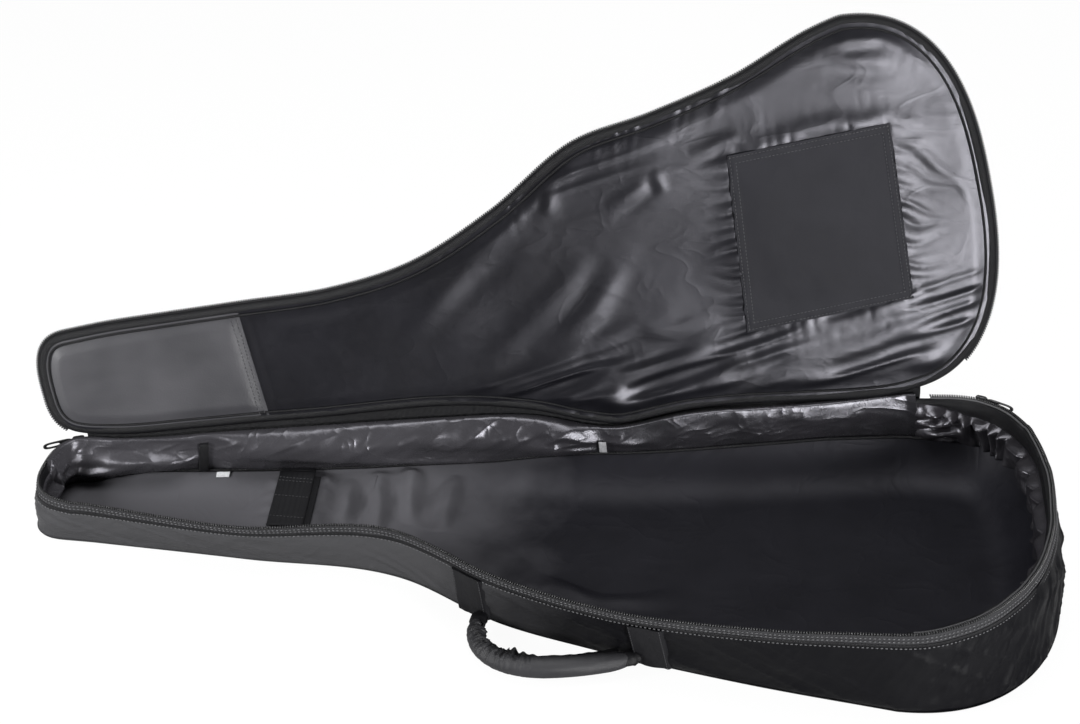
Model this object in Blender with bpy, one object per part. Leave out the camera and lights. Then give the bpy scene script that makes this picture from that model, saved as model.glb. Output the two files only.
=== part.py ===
"""Acoustic guitar gig bag, open, lying on its back.

The bag lies along X with the head end at -X and the tail end at +X.
The lid is hinged along the +Y side. The underside is at z = 0. Metres.
"""
import math

import bmesh
import bpy
import numpy as np
from mathutils import Matrix, Vector

NAME = "guitar_gig_bag"

# Overall outline
HEAD_X = -0.541
TAIL_X = 0.541
HEAD_ROUND = 0.045
TAIL_ROUND = 0.165
HEAD_POWER = 2.8
TAIL_POWER = 2.2

# Length and fullness of the tail's corners: near side of the base, its far side, and both sides of the lid
NEAR_CORNER = (TAIL_ROUND, TAIL_POWER)
FAR_CORNER = (0.110, 2.6)
LID_NEAR_CORNER = (0.150, 2.6)
LID_FAR_CORNER = (0.160, 2.35)

# Half widths of the bag at named places along it, as the soft bag lies
STATION_X = (-0.470, -0.300, -0.130, -0.020, 0.075, 0.230, 0.376)
FLOOR_NEAR = (0.054, 0.061, 0.072, 0.132, 0.160, 0.193, 0.214)
FLOOR_FAR = (0.052, 0.080, 0.113, 0.131, 0.138, 0.169, 0.203)
LID_NEAR = (0.068, 0.056, 0.056, 0.092, 0.142, 0.170, 0.210)
OPEN_LEAN = (0.016, 0.032, 0.022, 0.028, 0.036, 0.030, 0.012)
TAIL_TUCK = 0.018
HEAD_TUCK = 0.009

# Depth of the gusset, from the head to the tail
MID_DEPTH = 0.087
DEPTH_SLOPE = 0.046

# Cloth and padding
GAP = 0.0004
PANEL = 0.0024
FOAM = 0.0055
LINING = 0.0012
WALL_PAD = 0.0040
FLOOR_CLEAR = 0.0035
TAPE = 0.0014
TAPE_HEIGHT = 0.013
TEETH_RADIUS = 0.0016
TEETH_STOP = 0.0016

# Lid
HINGE_SLOPE = 0.1728
HINGE_Y = 0.1352
LID_OPEN = math.radians(106.0)
LID_LIFT = 0.0075
LID_EDGE = -0.0005
LID_TRIM = 0.0045
HINGE_ROLL = 0.0035
ROLL_HEAD_X = -0.492
ROLL_TAIL_X = 0.345
BINDING_WIDTH = 0.014
BINDING_DEPTH = 0.0066

# Headstock pad and bridge patch on the lid lining
HEAD_PAD_THICK = 0.0035
HEAD_PAD_SEAM_X = -0.304
BRIDGE_X = 0.318
BRIDGE_Y = 0.004
BRIDGE_SIZE = 0.178
BRIDGE_THICK = 0.0012

# Neck rest pad and strap
REST_X = -0.262
REST_LENGTH = 0.150
REST_HEIGHT = 0.016
STRAP_WIDTH = 0.042
STRAP_THICK = 0.0022
STRAP_RISE = 0.0008
STRAP_SLANT = -0.011

# Piping of the floor: its height up the far lining, at places along the bag
PIPING_X = (-0.500, -0.470, -0.440, -0.340, -0.200, -0.063, 0.045, 0.155, 0.300, 0.400)
PIPING_Z = (0.0125, 0.0230, 0.0285, 0.0280, 0.0275, 0.0314, 0.0444, 0.0487, 0.0545, 0.0520)
PIPING_RADIUS = 0.0015

# Handle
HANDLE_LEFT_X = -0.052
HANDLE_RIGHT_X = 0.142
HANDLE_START_SHIFT = 0.012
HANDLE_BAND_WIDTH = 0.036
HANDLE_HEIGHT = 0.0125
HANDLE_OFF_LEFT = 0.0072
HANDLE_OFF_RIGHT = 0.0058
BAND_RISE_LEFT = 0.0014
BAND_RISE_RIGHT = 0.0006
HANDLE_REACH = 0.054
HANDLE_SKEW = 0.62
HANDLE_CURL = 0.85
SLEEVE_RADIUS = 0.0098
SLEEVE_SEAM = 0.008
SLEEVE_END = 0.014
TAB_WIDTH = 0.011
TAB_STOP = 0.0007
WEBBING_THICK = 0.0022

# Outer pocket behind the neck
POCKET_HEAD_X = -0.455
POCKET_TAIL_X = -0.235
POCKET_THICK = 0.011
POCKET_INSET = 0.013
POCKET_ZIP_WIDTH = 0.024

# Zipper sliders
SLIDER_LENGTH = 0.013
SLIDER_WIDTH = 0.0085
SLIDER_HEIGHT = 0.0042
PULL_LENGTH = 0.032
PULL_WIDTH = 0.0075
PULL_THICK = 0.0016

COUNT_HEAD = 7
COUNT_MID = 26
COUNT_TAIL = 11


def depth(x):
    """Height of the zipper line above the floor at x."""
    return MID_DEPTH + DEPTH_SLOPE * x


def hinge_y(x):
    """The hinge line seen from above."""
    return HINGE_Y + HINGE_SLOPE * x


def profile(values, x):
    """Smooth curve through the station values."""
    xs = np.array(STATION_X)
    ys = np.array(values)
    slopes = np.gradient(ys, xs)
    x = np.clip(np.asarray(x, float), xs[0], xs[-1])
    i = np.clip(np.searchsorted(xs, x) - 1, 0, len(xs) - 2)
    step = xs[i + 1] - xs[i]
    t = (x - xs[i]) / step
    low = (1 + 2 * t) * (1 - t) ** 2 * ys[i] + t * (1 - t) ** 2 * step * slopes[i]
    high = t * t * (3 - 2 * t) * ys[i + 1] + t * t * (t - 1) * step * slopes[i + 1]
    return low + high


def rounding(x, head, tail, corner=NEAR_CORNER):
    """Factor that closes the outline at both ends."""
    length, power = corner
    a = np.clip((head + HEAD_ROUND - x) / HEAD_ROUND, 0, 1)
    b = np.clip((x - tail + length) / length, 0, 1)
    at_head = (1 - a ** HEAD_POWER) ** (1 / HEAD_POWER)
    at_tail = (1 - b ** power) ** (1 / power)
    return at_head * at_tail


def stations(head, tail):
    """Places along the bag, closer together at the rounded ends."""
    a = head + HEAD_ROUND * (1 - np.cos(np.linspace(0, math.pi / 2, COUNT_HEAD)))
    b = tail - TAIL_ROUND * (1 - np.cos(np.linspace(math.pi / 2, 0, COUNT_TAIL)))
    middle = np.linspace(a[-1], b[0], COUNT_MID)
    return np.concatenate([a, middle[1:-1], b])


def ring(near, far, head, tail, height, corners=(NEAR_CORNER, FAR_CORNER)):
    """Closed loop of points: near side from head to tail, then back on the far side."""
    x = stations(head, tail)
    f = rounding(x, head, tail, corners[0])
    g = rounding(x, head, tail, corners[1])
    low = np.stack([x, -near(x) * f, height(x)], 1)
    high = np.stack([x, far(x) * g, height(x)], 1)
    return np.concatenate([low, high[-2:0:-1]])


def floor_ring():
    """Outline of the bag where it meets the floor."""
    return ring(lambda x: profile(FLOOR_NEAR, x), lambda x: profile(FLOOR_FAR, x),
                HEAD_X, TAIL_X, lambda x: 0 * x)


def lean(x):
    """How far the near wall flops outward at its top."""
    fade = np.clip((TAIL_X - 0.03 - x) / 0.12, 0, 1) * np.clip((x - HEAD_X) / 0.06, 0, 1)
    return profile(OPEN_LEAN, x) * fade


def rim_ring():
    """The zipper line, with the near wall leaning outward and so a little lower."""
    head = HEAD_X + HEAD_TUCK
    tail = TAIL_X - TAIL_TUCK
    loop = ring(lambda x: profile(FLOOR_NEAR, x) + lean(x), lambda x: profile(FLOOR_FAR, x),
                head, tail, depth)
    near = np.arange(len(loop)) < len(stations(head, tail))
    out = np.where(near, lean(loop[:, 0]), 0)
    loop[:, 2] = np.sqrt(depth(loop[:, 0]) ** 2 - out ** 2)
    return loop


def side_count():
    return COUNT_HEAD + COUNT_MID + COUNT_TAIL - 2


def outward(loop):
    """Level normals of a closed loop, pointing away from the bag."""
    ahead = np.roll(loop, -1, 0) - np.roll(loop, 1, 0)
    normal = np.stack([ahead[:, 1], -ahead[:, 0], 0 * ahead[:, 0]], 1)
    return normal / np.linalg.norm(normal, axis=1)[:, None]


def moved(loop, amount):
    """The loop pushed outward by an amount, which may be negative."""
    return loop + outward(loop) * amount


def at_height(low, high, z):
    """Points of the wall at a height above the floor."""
    z = np.broadcast_to(np.asarray(z, float), (len(low),))
    t = (z - low[:, 2]) / (high[:, 2] - low[:, 2])
    return low + (high - low) * t[:, None]


def at_fall(low, high, fall):
    """Points of the wall at a distance below its top edge."""
    length = np.linalg.norm(high - low, axis=1)
    return high + (low - high) * (fall / length)[:, None]


def collection(name):
    found = bpy.data.collections.new(name)
    bpy.context.scene.collection.children.link(found)
    return found


def material(name, colour, rough, metal=0.0, sheen=0.0):
    made = bpy.data.materials.new(name)
    made.use_nodes = True
    shader = made.node_tree.nodes["Principled BSDF"]
    shader.inputs["Base Color"].default_value = (*colour, 1.0)
    shader.inputs["Roughness"].default_value = rough
    shader.inputs["Metallic"].default_value = metal
    shader.inputs["Sheen Weight"].default_value = sheen
    made.diffuse_color = (*colour, 1.0)
    return made


def finish(obj, home, mat, parent=None, smooth=True):
    """Link, parent and colour an object."""
    home.objects.link(obj)
    obj.data.materials.append(mat)
    if obj.type == "MESH":
        for face in obj.data.polygons:
            face.use_smooth = smooth
        obj.data.set_sharp_from_angle(angle=math.radians(40)) if smooth else None
    if parent is not None:
        obj.parent = parent
    return obj


def mesh_object(name, points, faces):
    mesh = bpy.data.meshes.new(name)
    mesh.from_pydata([tuple(p) for p in points], [], faces)
    work = bmesh.new()
    work.from_mesh(mesh)
    bmesh.ops.recalc_face_normals(work, faces=work.faces[:])
    work.to_mesh(mesh)
    work.free()
    return bpy.data.objects.new(name, mesh)


def band(name, rows, closed):
    """Solid strip lofted through four matching rows of points: its section goes round them."""
    rows = [np.asarray(r, float) for r in rows]
    count = len(rows[0])
    points = np.concatenate(rows)
    faces = []
    last = count if closed else count - 1
    for k in range(last):
        n = (k + 1) % count
        for r in range(4):
            s = (r + 1) % 4
            a, b, c, d = (r * count + k, r * count + n, s * count + n, s * count + k)
            if r < 2:
                faces.extend(((a, b, c), (a, c, d)))
            else:
                faces.extend(((a, b, d), (b, c, d)))
    if not closed:
        faces.append(tuple(r * count for r in range(4)))
        faces.append(tuple(r * count + count - 1 for r in (3, 2, 1, 0)))
    return mesh_object(name, points, faces)


def plate(name, loop, base, thick):
    """Flat panel cut to a loop: its underside is at base(x)."""
    count = len(loop)
    low = loop.copy()
    low[:, 2] = base(loop[:, 0])
    high = low + np.array([0, 0, thick])
    half = side_count()
    faces = []
    for lift in (0, count):
        for k in range(half - 1):
            a = k
            b = k + 1
            c = (count - b) % count if b < half - 1 else b
            d = (count - a) % count if a > 0 else a
            corners = []
            for v in (a, b, c, d):
                if v + lift not in corners:
                    corners.append(v + lift)
            faces.append(tuple(corners) if lift else tuple(reversed(corners)))
    for k in range(count):
        n = (k + 1) % count
        faces.append((k, n, n + count, k + count))
    return mesh_object(name, np.concatenate([low, high]), faces)


def tube(name, points, radius, closed, sides=1):
    """Round cord along points."""
    curve = bpy.data.curves.new(name, "CURVE")
    curve.dimensions = "3D"
    curve.bevel_depth = radius
    curve.bevel_resolution = sides
    curve.use_fill_caps = not closed
    line = curve.splines.new("POLY")
    line.points.add(len(points) - 1)
    line.points.foreach_set("co", np.concatenate([points, np.ones((len(points), 1))], 1).ravel())
    line.use_cyclic_u = closed
    line.use_smooth = True
    made = bpy.data.objects.new(name, curve)
    if not closed:
        weld = made.modifiers.new("join_caps", "WELD")
        weld.merge_threshold = 0.00005
    return made


def ribbon(name, path, across, width, thick):
    """Flat webbing along a path: across gives the width direction at each point."""
    path = np.asarray(path, float)
    across = np.asarray(across, float)
    across = across / np.linalg.norm(across, axis=1)[:, None]
    ahead = np.gradient(path, axis=0)
    up = np.cross(ahead, across)
    up = up / np.linalg.norm(up, axis=1)[:, None]
    a = across * width / 2
    b = up * thick / 2
    return band(name, [path - a - b, path + a - b, path + a + b, path - a + b], False)


def box(name, size, chamfer=0.0):
    """Box about its own origin, with its edges rounded if asked."""
    mesh = bpy.data.meshes.new(name)
    work = bmesh.new()
    bmesh.ops.create_cube(work, size=1.0)
    bmesh.ops.scale(work, vec=Vector(size), verts=work.verts[:])
    if chamfer:
        bmesh.ops.bevel(work, geom=work.edges[:], offset=chamfer, segments=2, affect="EDGES", profile=0.5)
    work.to_mesh(mesh)
    work.free()
    return bpy.data.objects.new(name, mesh)


def frame(origin, x_axis, z_axis):
    """Matrix whose X and Z follow two directions."""
    x = Vector(x_axis).normalized()
    z = Vector(z_axis)
    z = (z - x * z.dot(x)).normalized()
    y = z.cross(x)
    turn = Matrix((x, y, z)).transposed()
    return Matrix.Translation(Vector(origin)) @ turn.to_4x4()


def empty(name, home, matrix, parent=None):
    made = bpy.data.objects.new(name, None)
    home.objects.link(made)
    made.parent = parent
    made.matrix_local = matrix
    return made


def clear_scene():
    for obj in list(bpy.data.objects):
        bpy.data.objects.remove(obj, do_unlink=True)


def palette():
    return {
        "shell": ((0.030, 0.030, 0.034), 0.55, 0.0, 0.3),
        "padding": ((0.12, 0.12, 0.12), 0.95, 0.0, 0.0),
        "lining": ((0.085, 0.080, 0.092), 0.38, 0.0, 0.5),
        "binding": ((0.018, 0.018, 0.020), 0.60, 0.0, 0.2),
        "tape": ((0.022, 0.022, 0.025), 0.75, 0.0, 0.2),
        "teeth": ((0.030, 0.030, 0.032), 0.35, 0.0, 0.0),
        "vinyl": ((0.060, 0.058, 0.064), 0.60, 0.0, 0.0),
        "webbing": ((0.020, 0.020, 0.022), 0.80, 0.0, 0.2),
        "metal": ((0.09, 0.09, 0.095), 0.35, 0.9, 0.0),
        "label": ((0.55, 0.55, 0.56), 0.60, 0.0, 0.0),
    }


def coat(name, kind):
    colour, rough, metal, sheen = palette()[kind]
    return material("mat_" + name, colour, rough, metal, sheen)


def near_part():
    """Loop points of the near wall, from the head round to the tail."""
    return np.arange(0, side_count())


def far_part(count):
    """Loop points of the far wall, from the tail round to the head."""
    return np.concatenate([np.arange(side_count() - 1, count), [0]])


def split_ends(rows_part, loop):
    """Pull the two ends of a part back a little, so that neighbours do not touch."""
    moved_loop = loop.copy()
    first = rows_part[0]
    second = rows_part[1]
    last = rows_part[-1]
    before = rows_part[-2]
    for end, inner in ((first, second), (last, before)):
        step = loop[inner] - loop[end]
        moved_loop[end] = loop[end] + step / np.linalg.norm(step) * GAP
    return moved_loop


def cut_band(name, low, high, outer, thick, part):
    """Wall strip over part of the loop, stopping just short at its ends."""
    rows = [moved(low, outer), moved(high, outer), moved(high, outer - thick), moved(low, outer - thick)]
    rows = [split_ends(part, r)[part] for r in rows]
    return band(name, rows, False)


def back(home):
    """Underside panel, its padding and the floor lining."""
    loop = floor_ring()
    inner = moved(loop, -PANEL - WALL_PAD - FLOOR_CLEAR)
    finish(plate("back_panel", loop, lambda x: 0 * x, PANEL), home, coat("back_panel", "shell"))
    finish(plate("back_foam", inner, lambda x: 0 * x + PANEL + GAP, FOAM), home, coat("back_foam", "padding"))
    floor = PANEL + FOAM + 2 * GAP
    finish(plate("floor_lining", inner, lambda x: 0 * x + floor, LINING), home, coat("floor_lining", "lining"))


def wall_lines():
    """Foot of the wall, foot of the zipper tape, and the zipper line itself."""
    low = floor_ring()
    high = rim_ring()
    foot = at_height(low, high, PANEL + GAP)
    shoulder = at_fall(low, high, TAPE_HEIGHT + GAP)
    return low, high, foot, shoulder


def zipper_part(count):
    """Loop points that the zipper runs along: all but the hinged far side."""
    far_tail = side_count() + COUNT_TAIL - 4
    far_head = count - 5
    back_part = np.arange(far_head, count)
    front_part = np.arange(0, far_tail)
    return np.concatenate([back_part, front_part])


def hinged_part(count):
    """Loop points of the far side that the lid hangs from."""
    part = zipper_part(count)
    return np.arange(part[-1], part[0] + 1)


def walls(home):
    """Gusset of the bag: outer cloth, padded lining, zipper tape and teeth."""
    low, high, foot, shoulder = wall_lines()
    count = len(low)
    finish(cut_band("near_wall", foot, shoulder, 0, PANEL, near_part()), home, coat("near_wall", "shell"))
    finish(cut_band("far_wall", foot, shoulder, 0, PANEL, far_part(count)), home, coat("far_wall", "shell"))
    inner = -PANEL - GAP
    tail_start = side_count() - COUNT_TAIL + 1
    tail_end = side_count() + COUNT_TAIL - 3
    near = np.arange(0, tail_start + 1)
    tail = np.arange(tail_start, tail_end + 1)
    far = np.concatenate([np.arange(tail_end, count), [0]])
    finish(cut_band("near_lining", foot, shoulder, inner, WALL_PAD, near),
           home, coat("near_lining", "lining"))
    finish(cut_band("far_lining", foot, shoulder, inner, WALL_PAD, far),
           home, coat("far_lining", "lining"))
    facing_foot = at_fall(low, high, TAPE_HEIGHT + GAP + 0.024)
    pleat_top = at_fall(low, high, TAPE_HEIGHT + GAP + 0.0244)
    finish(cut_band("tail_lining", foot, pleat_top, inner, WALL_PAD, tail),
           home, coat("tail_lining", "lining"))
    finish(cut_band("tail_facing", facing_foot, shoulder, inner, WALL_PAD, tail),
           home, coat("tail_facing", "binding"))
    return low, high


def zipper(home, low, high):
    """Zipper half sewn to the top of the wall."""
    count = len(low)
    part = zipper_part(count)
    tape_foot = at_fall(low, high, TAPE_HEIGHT)
    tape_top = at_fall(low, high, 2 * TEETH_RADIUS + GAP)
    outer = -0.0005
    rows = [moved(tape_foot, outer), moved(tape_top, outer),
            moved(tape_top, outer - TAPE), moved(tape_foot, outer - TAPE)]
    rows = [split_ends(part, r)[part] for r in rows]
    finish(band("base_zipper_tape", rows, False), home, coat("base_zipper_tape", "tape"))
    line = moved(at_fall(low, high, TEETH_RADIUS), outer - TAPE / 2)[part]
    for end, inner in ((0, 1), (-1, -2)):
        step = line[inner] - line[end]
        line[end] += step / np.linalg.norm(step) * TEETH_STOP
    finish(tube("base_zipper_teeth", line, TEETH_RADIUS, False), home, coat("base_zipper_teeth", "teeth"))
    hinge_cloth(home, low, high)
    return line


def hinge_cloth(home, low, high):
    """Cloth along the far side that the lid hangs from: a band off the wall and a roll on the hinge line."""
    held = hinged_part(len(low))
    foot = at_fall(low, high, TAPE_HEIGHT)
    flat_top = at_fall(low, high, 2 * TEETH_RADIUS + GAP)
    x = flat_top[:, 0]
    up = np.clip((ROLL_TAIL_X + 0.04 - x) / 0.04, 0, 1) * np.clip((x - ROLL_HEAD_X + 0.016) / 0.016, 0, 1)
    under = np.stack([x, hinge_y(x), depth(x) + LID_LIFT - HINGE_ROLL - GAP], 1)
    top = flat_top + (under - flat_top) * up[:, None]
    outer = -0.0005
    rows = [moved(foot, outer), top + outward(foot) * outer,
            top + outward(foot) * (outer - TAPE), moved(foot, outer - TAPE)]
    rows = [split_ends(held, r)[held] for r in rows]
    finish(band("hinge_band", rows, False), home, coat("hinge_band", "binding"))
    xs = np.linspace(ROLL_HEAD_X, ROLL_TAIL_X, 9)
    line = np.stack([xs, hinge_y(xs), depth(xs) + LID_LIFT], 1)
    finish(tube("hinge_roll", line, HINGE_ROLL, False, 2), home, coat("hinge_roll", "binding"))


def lid_ring(shrink=0.0):
    """Outline of the closed lid: straight along the hinge, curved on the near side."""
    head = HEAD_X + 0.006 + shrink
    tail = TAIL_X - 0.036 - shrink

    def far(x):
        return hinge_y(x) - LID_EDGE - shrink

    return ring(lambda x: profile(LID_NEAR, x) - shrink, far, head, tail, depth,
                (LID_NEAR_CORNER, LID_FAR_CORNER))


def lid_frame(home):
    """Empty on the hinge line, turned so that what is built closed appears open."""
    axis = Vector((1.0, HINGE_SLOPE, DEPTH_SLOPE)).normalized()
    origin = Vector((0.0, HINGE_Y, MID_DEPTH + LID_LIFT))
    turn = Matrix.Rotation(-LID_OPEN, 4, axis)
    return empty("lid_hinge", home, Matrix.Translation(origin) @ turn), origin


def lid(home):
    """Front panel with padding, lining and a bound edge, and what is sewn to it."""
    hinge, origin = lid_frame(home)
    shift = -np.array(origin)

    def level(rise):
        return lambda x: depth(x) + LID_LIFT + rise

    def place(obj, kind):
        return finish(obj, home, coat(obj.name, kind), hinge)

    def local(loop):
        return loop + shift

    def panel(name, loop, rise, thick, kind):
        made = plate(name, loop, level(rise), thick)
        made.data.transform(Matrix.Translation(Vector(shift)))
        return place(made, kind)

    inset = lid_ring(BINDING_WIDTH)
    total = PANEL + FOAM + LINING + 2 * GAP
    bottom = -total / 2
    panel("lid_lining", inset, bottom, LINING, "lining")
    panel("front_foam", inset, bottom + LINING + GAP, FOAM, "padding")
    panel("front_panel", inset, bottom + LINING + FOAM + 2 * GAP, PANEL, "shell")
    edge_out = lid_ring(LID_TRIM)
    edge_in = lid_ring(BINDING_WIDTH - GAP)
    half = BINDING_DEPTH / 2
    rows = []
    for loop, rise in ((edge_out, -half), (edge_out, half), (edge_in, half), (edge_in, -half)):
        row = loop.copy()
        row[:, 2] = level(rise)(row[:, 0])
        rows.append(local(row))
    place(band("lid_binding", rows, True), "binding")
    lid_zipper(place, local, level)
    lid_pads(place, local, level, bottom)
    neck_pocket(home, hinge, place, shift, level, bottom + total)
    return hinge, origin


def lid_zipper(place, local, level):
    """Zipper half on the edge of the lid."""
    outer = lid_ring(2 * TEETH_RADIUS + GAP)
    inner = lid_ring(0.0041)
    count = len(outer)
    part = zipper_part(count)[1:]
    rows = []
    for loop, rise in ((outer, -TAPE / 2), (outer, TAPE / 2), (inner, TAPE / 2), (inner, -TAPE / 2)):
        row = loop.copy()
        row[:, 2] = level(rise)(row[:, 0])
        rows.append(local(row)[part])
    place(band("lid_zipper_tape", rows, False), "tape")
    line = lid_ring(TEETH_RADIUS)
    line[:, 2] = level(0)(line[:, 0])
    place(tube("lid_zipper_teeth", local(line)[part], TEETH_RADIUS, False), "teeth")


def slab(name, corners, base, top, shift):
    """Panel with straight sides: corners are given in plan, base and top as heights over x."""
    plan = np.array(corners, float)
    low = np.column_stack([plan, base(plan[:, 0])]) + shift
    high = np.column_stack([plan, top(plan[:, 0])]) + shift
    count = len(plan)
    faces = [tuple(range(count - 1, -1, -1)), tuple(range(count, 2 * count))]
    for k in range(count):
        n = (k + 1) % count
        faces.append((k, n, n + count, k + count))
    return mesh_object(name, np.concatenate([low, high]), faces)


def lid_pads(place, local, level, bottom):
    """Headstock pad at the head end and square patch over the bridge."""
    shift = local(np.zeros((1, 3)))[0]
    loop = lid_ring(BINDING_WIDTH + 0.0012)
    half = side_count()
    near = loop[:half]
    keep = near[near[:, 0] < HEAD_PAD_SEAM_X]
    far = loop[half:][::-1]
    far = far[far[:, 0] < HEAD_PAD_SEAM_X - 0.010]
    seam_near = (HEAD_PAD_SEAM_X, -float(profile(LID_NEAR, HEAD_PAD_SEAM_X)) + BINDING_WIDTH + 0.0012)
    seam_x = HEAD_PAD_SEAM_X - 0.004
    seam_far = (seam_x, hinge_y(seam_x) - LID_EDGE - BINDING_WIDTH - 0.0012)
    plan = [tuple(p[:2]) for p in keep] + [seam_near, seam_far] + [tuple(p[:2]) for p in far[::-1]]
    top = bottom - GAP
    place(slab("headstock_pad", plan, level(top - HEAD_PAD_THICK), level(top), shift), "vinyl")
    s = BRIDGE_SIZE / 2
    plan = [(BRIDGE_X - s, BRIDGE_Y - s), (BRIDGE_X + s, BRIDGE_Y - s),
            (BRIDGE_X + s, BRIDGE_Y + s), (BRIDGE_X - s, BRIDGE_Y + s)]
    place(slab("bridge_patch", plan, level(top - BRIDGE_THICK), level(top), shift), "vinyl")


def pocket_plan(inset):
    """Corners of the pocket behind the neck, seen from above the closed lid."""
    xs = np.linspace(POCKET_HEAD_X + inset, POCKET_TAIL_X - inset, 7)
    room = BINDING_WIDTH + POCKET_INSET + inset
    near = [(x, -float(profile(LID_NEAR, x)) + room) for x in xs]
    far = [(x, hinge_y(x) - LID_EDGE - room) for x in xs[::-1]]
    return near + far


def neck_pocket(home, hinge, place, shift, level, top):
    """Shallow outer pocket with its own zipper, slider and pull."""
    base = top + GAP
    lid_top = base + POCKET_THICK
    count = len(pocket_plan(0))
    rings = []
    for inset, rise in ((0.0, base), (0.0, base + 0.6 * POCKET_THICK), (0.006, lid_top)):
        plan = np.array(pocket_plan(inset))
        rings.append(np.column_stack([plan, level(rise)(plan[:, 0])]) + shift)
    faces = [tuple(range(count - 1, -1, -1)), tuple(range(2 * count, 3 * count))]
    for r in (0, 1):
        for k in range(count):
            n = (k + 1) % count
            faces.append((r * count + k, r * count + n, (r + 1) * count + n, (r + 1) * count + k))
    place(mesh_object("neck_pocket", np.concatenate(rings), faces), "shell")
    x0 = POCKET_HEAD_X + 0.020
    x1 = POCKET_TAIL_X - 0.020
    start = np.array([x0, hinge_y(x0) / 2 - float(profile(LID_NEAR, x0)) / 2, 0])
    end = np.array([x1, hinge_y(x1) / 2 - float(profile(LID_NEAR, x1)) / 2, 0])
    tape_low = lid_top + GAP
    for p in (start, end):
        p[2] = level(tape_low + TAPE / 2)(p[0])
    along = (end - start) / np.linalg.norm(end - start)
    across = np.cross(np.array([0, 0, 1.0]), along)
    path = np.array([start, (start + end) / 2, end]) + shift
    place(ribbon("neck_pocket_zipper_tape", path, [across] * 3, POCKET_ZIP_WIDTH, TAPE), "tape")
    rise = np.array([0, 0, TAPE / 2 + GAP + 0.0006])
    path = np.array([start + along * 0.004, (start + end) / 2, end - along * 0.004]) + shift + rise
    place(ribbon("neck_pocket_zipper_teeth", path, [across] * 3, 0.0045, 0.0012), "teeth")
    seat = start + along * 0.016 + shift + np.array([0, 0, TAPE / 2 + 0.0012 + 3 * GAP])
    slider(home, "neck_pocket", hinge, frame(seat, along, (0, 0, 1)))


def slider(home, label, parent, seat):
    """Zipper slider standing on seat, with a pull tab hinged on it."""
    base = empty(label + "_slider_seat", home, seat, parent)
    body = box(label + "_slider", (SLIDER_LENGTH, SLIDER_WIDTH, SLIDER_HEIGHT), 0.0012)
    body.location = (0, 0, SLIDER_HEIGHT / 2)
    finish(body, home, coat(label + "_slider", "metal"), base)
    pin = Matrix.Translation((SLIDER_LENGTH / 2 + 0.0022, 0, SLIDER_HEIGHT * 0.45))
    pivot = empty(label + "_pull_hinge", home, pin, base)
    pull = box(label + "_pull", (PULL_LENGTH, PULL_WIDTH, PULL_THICK), 0.0006)
    pull.location = (PULL_LENGTH / 2 - 0.0017, 0, 0)
    finish(pull, home, coat(label + "_pull", "metal"), pivot)
    return base


def main_sliders(home, line):
    """The two sliders of the long zipper, each parked at an end of it, outside the teeth."""
    for label, end, nxt in (("head", 1, 2), ("tail", -2, -3)):
        ahead = line[nxt] - line[end]
        out = np.array([ahead[1], -ahead[0], 0]) * (1 if label == "head" else -1)
        out = out / np.linalg.norm(out)
        seat = line[end] + out * (TEETH_RADIUS + GAP) - np.array([0, 0, 0.0016])
        slider(home, label, None, frame(seat, ahead, out))


def neck_rest(home):
    """Pad across the neck and the hook and loop strap over it."""
    loop = moved(floor_ring(), -PANEL - WALL_PAD - FLOOR_CLEAR - 0.0045)
    half = side_count()
    x0 = REST_X - REST_LENGTH / 2
    x1 = REST_X + REST_LENGTH / 2
    xs = np.linspace(x0, x1, 13)
    near = np.interp(xs, loop[:half, 0], loop[:half, 1])
    far_side = loop[half:][::-1]
    far = np.interp(xs, far_side[:, 0], far_side[:, 1])
    floor = PANEL + FOAM + LINING + 3 * GAP
    crown = np.sin(np.linspace(0, math.pi, 13)) ** 0.5 * (REST_HEIGHT - 0.004) + 0.004
    rows = []
    for side, top in ((near, False), (near, True), (far, True), (far, False)):
        height = floor + (crown if top else 0 * xs)
        rows.append(np.stack([xs, side, height], 1))
    finish(band("neck_rest_pad", rows, False), home, coat("neck_rest_pad", "lining"))
    return floor + REST_HEIGHT, near[6], far[6]


def neck_strap(home, top, near, far):
    """Two straps that meet over the neck: the far one lies on top and opens like a flap."""
    mid = 0.35 * near + 0.65 * far
    low = top + STRAP_RISE + STRAP_THICK / 2
    high = low + STRAP_THICK + GAP
    slant = STRAP_SLANT
    ys = np.linspace(near + 0.003, mid + 0.030, 9)
    arch = 0.0 * ys
    path = np.stack([REST_X + slant * (ys - near) / (far - near), ys, low + arch], 1)
    across = np.tile([1.0, 0, 0], (9, 1))
    finish(ribbon("neck_strap_under", path, across, STRAP_WIDTH, STRAP_THICK),
           home, coat("neck_strap_under", "webbing"))
    root = Vector((REST_X + slant, far - 0.006, high + STRAP_THICK / 2))
    pivot = empty("neck_strap_hinge", home, Matrix.Translation(root))
    ys = np.linspace(near + 0.012, far - 0.006, 11)
    path = np.stack([REST_X + slant * (ys - near) / (far - near), ys, high + 0 * ys], 1) - np.array(root)
    across = np.tile([1.0, 0, 0], (11, 1))
    finish(ribbon("neck_strap_over", path, across, STRAP_WIDTH - 0.003, STRAP_THICK),
           home, coat("neck_strap_over", "webbing"), pivot)
    ys = np.array([far - 0.006 + GAP, far - 0.003, far - 0.0005])
    path = np.stack([REST_X + slant + 0 * ys, ys, high + 0 * ys], 1)
    finish(ribbon("neck_strap_root", path, np.tile([1.0, 0, 0], (3, 1)), STRAP_WIDTH - 0.003, STRAP_THICK),
           home, coat("neck_strap_root", "webbing"))


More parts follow.
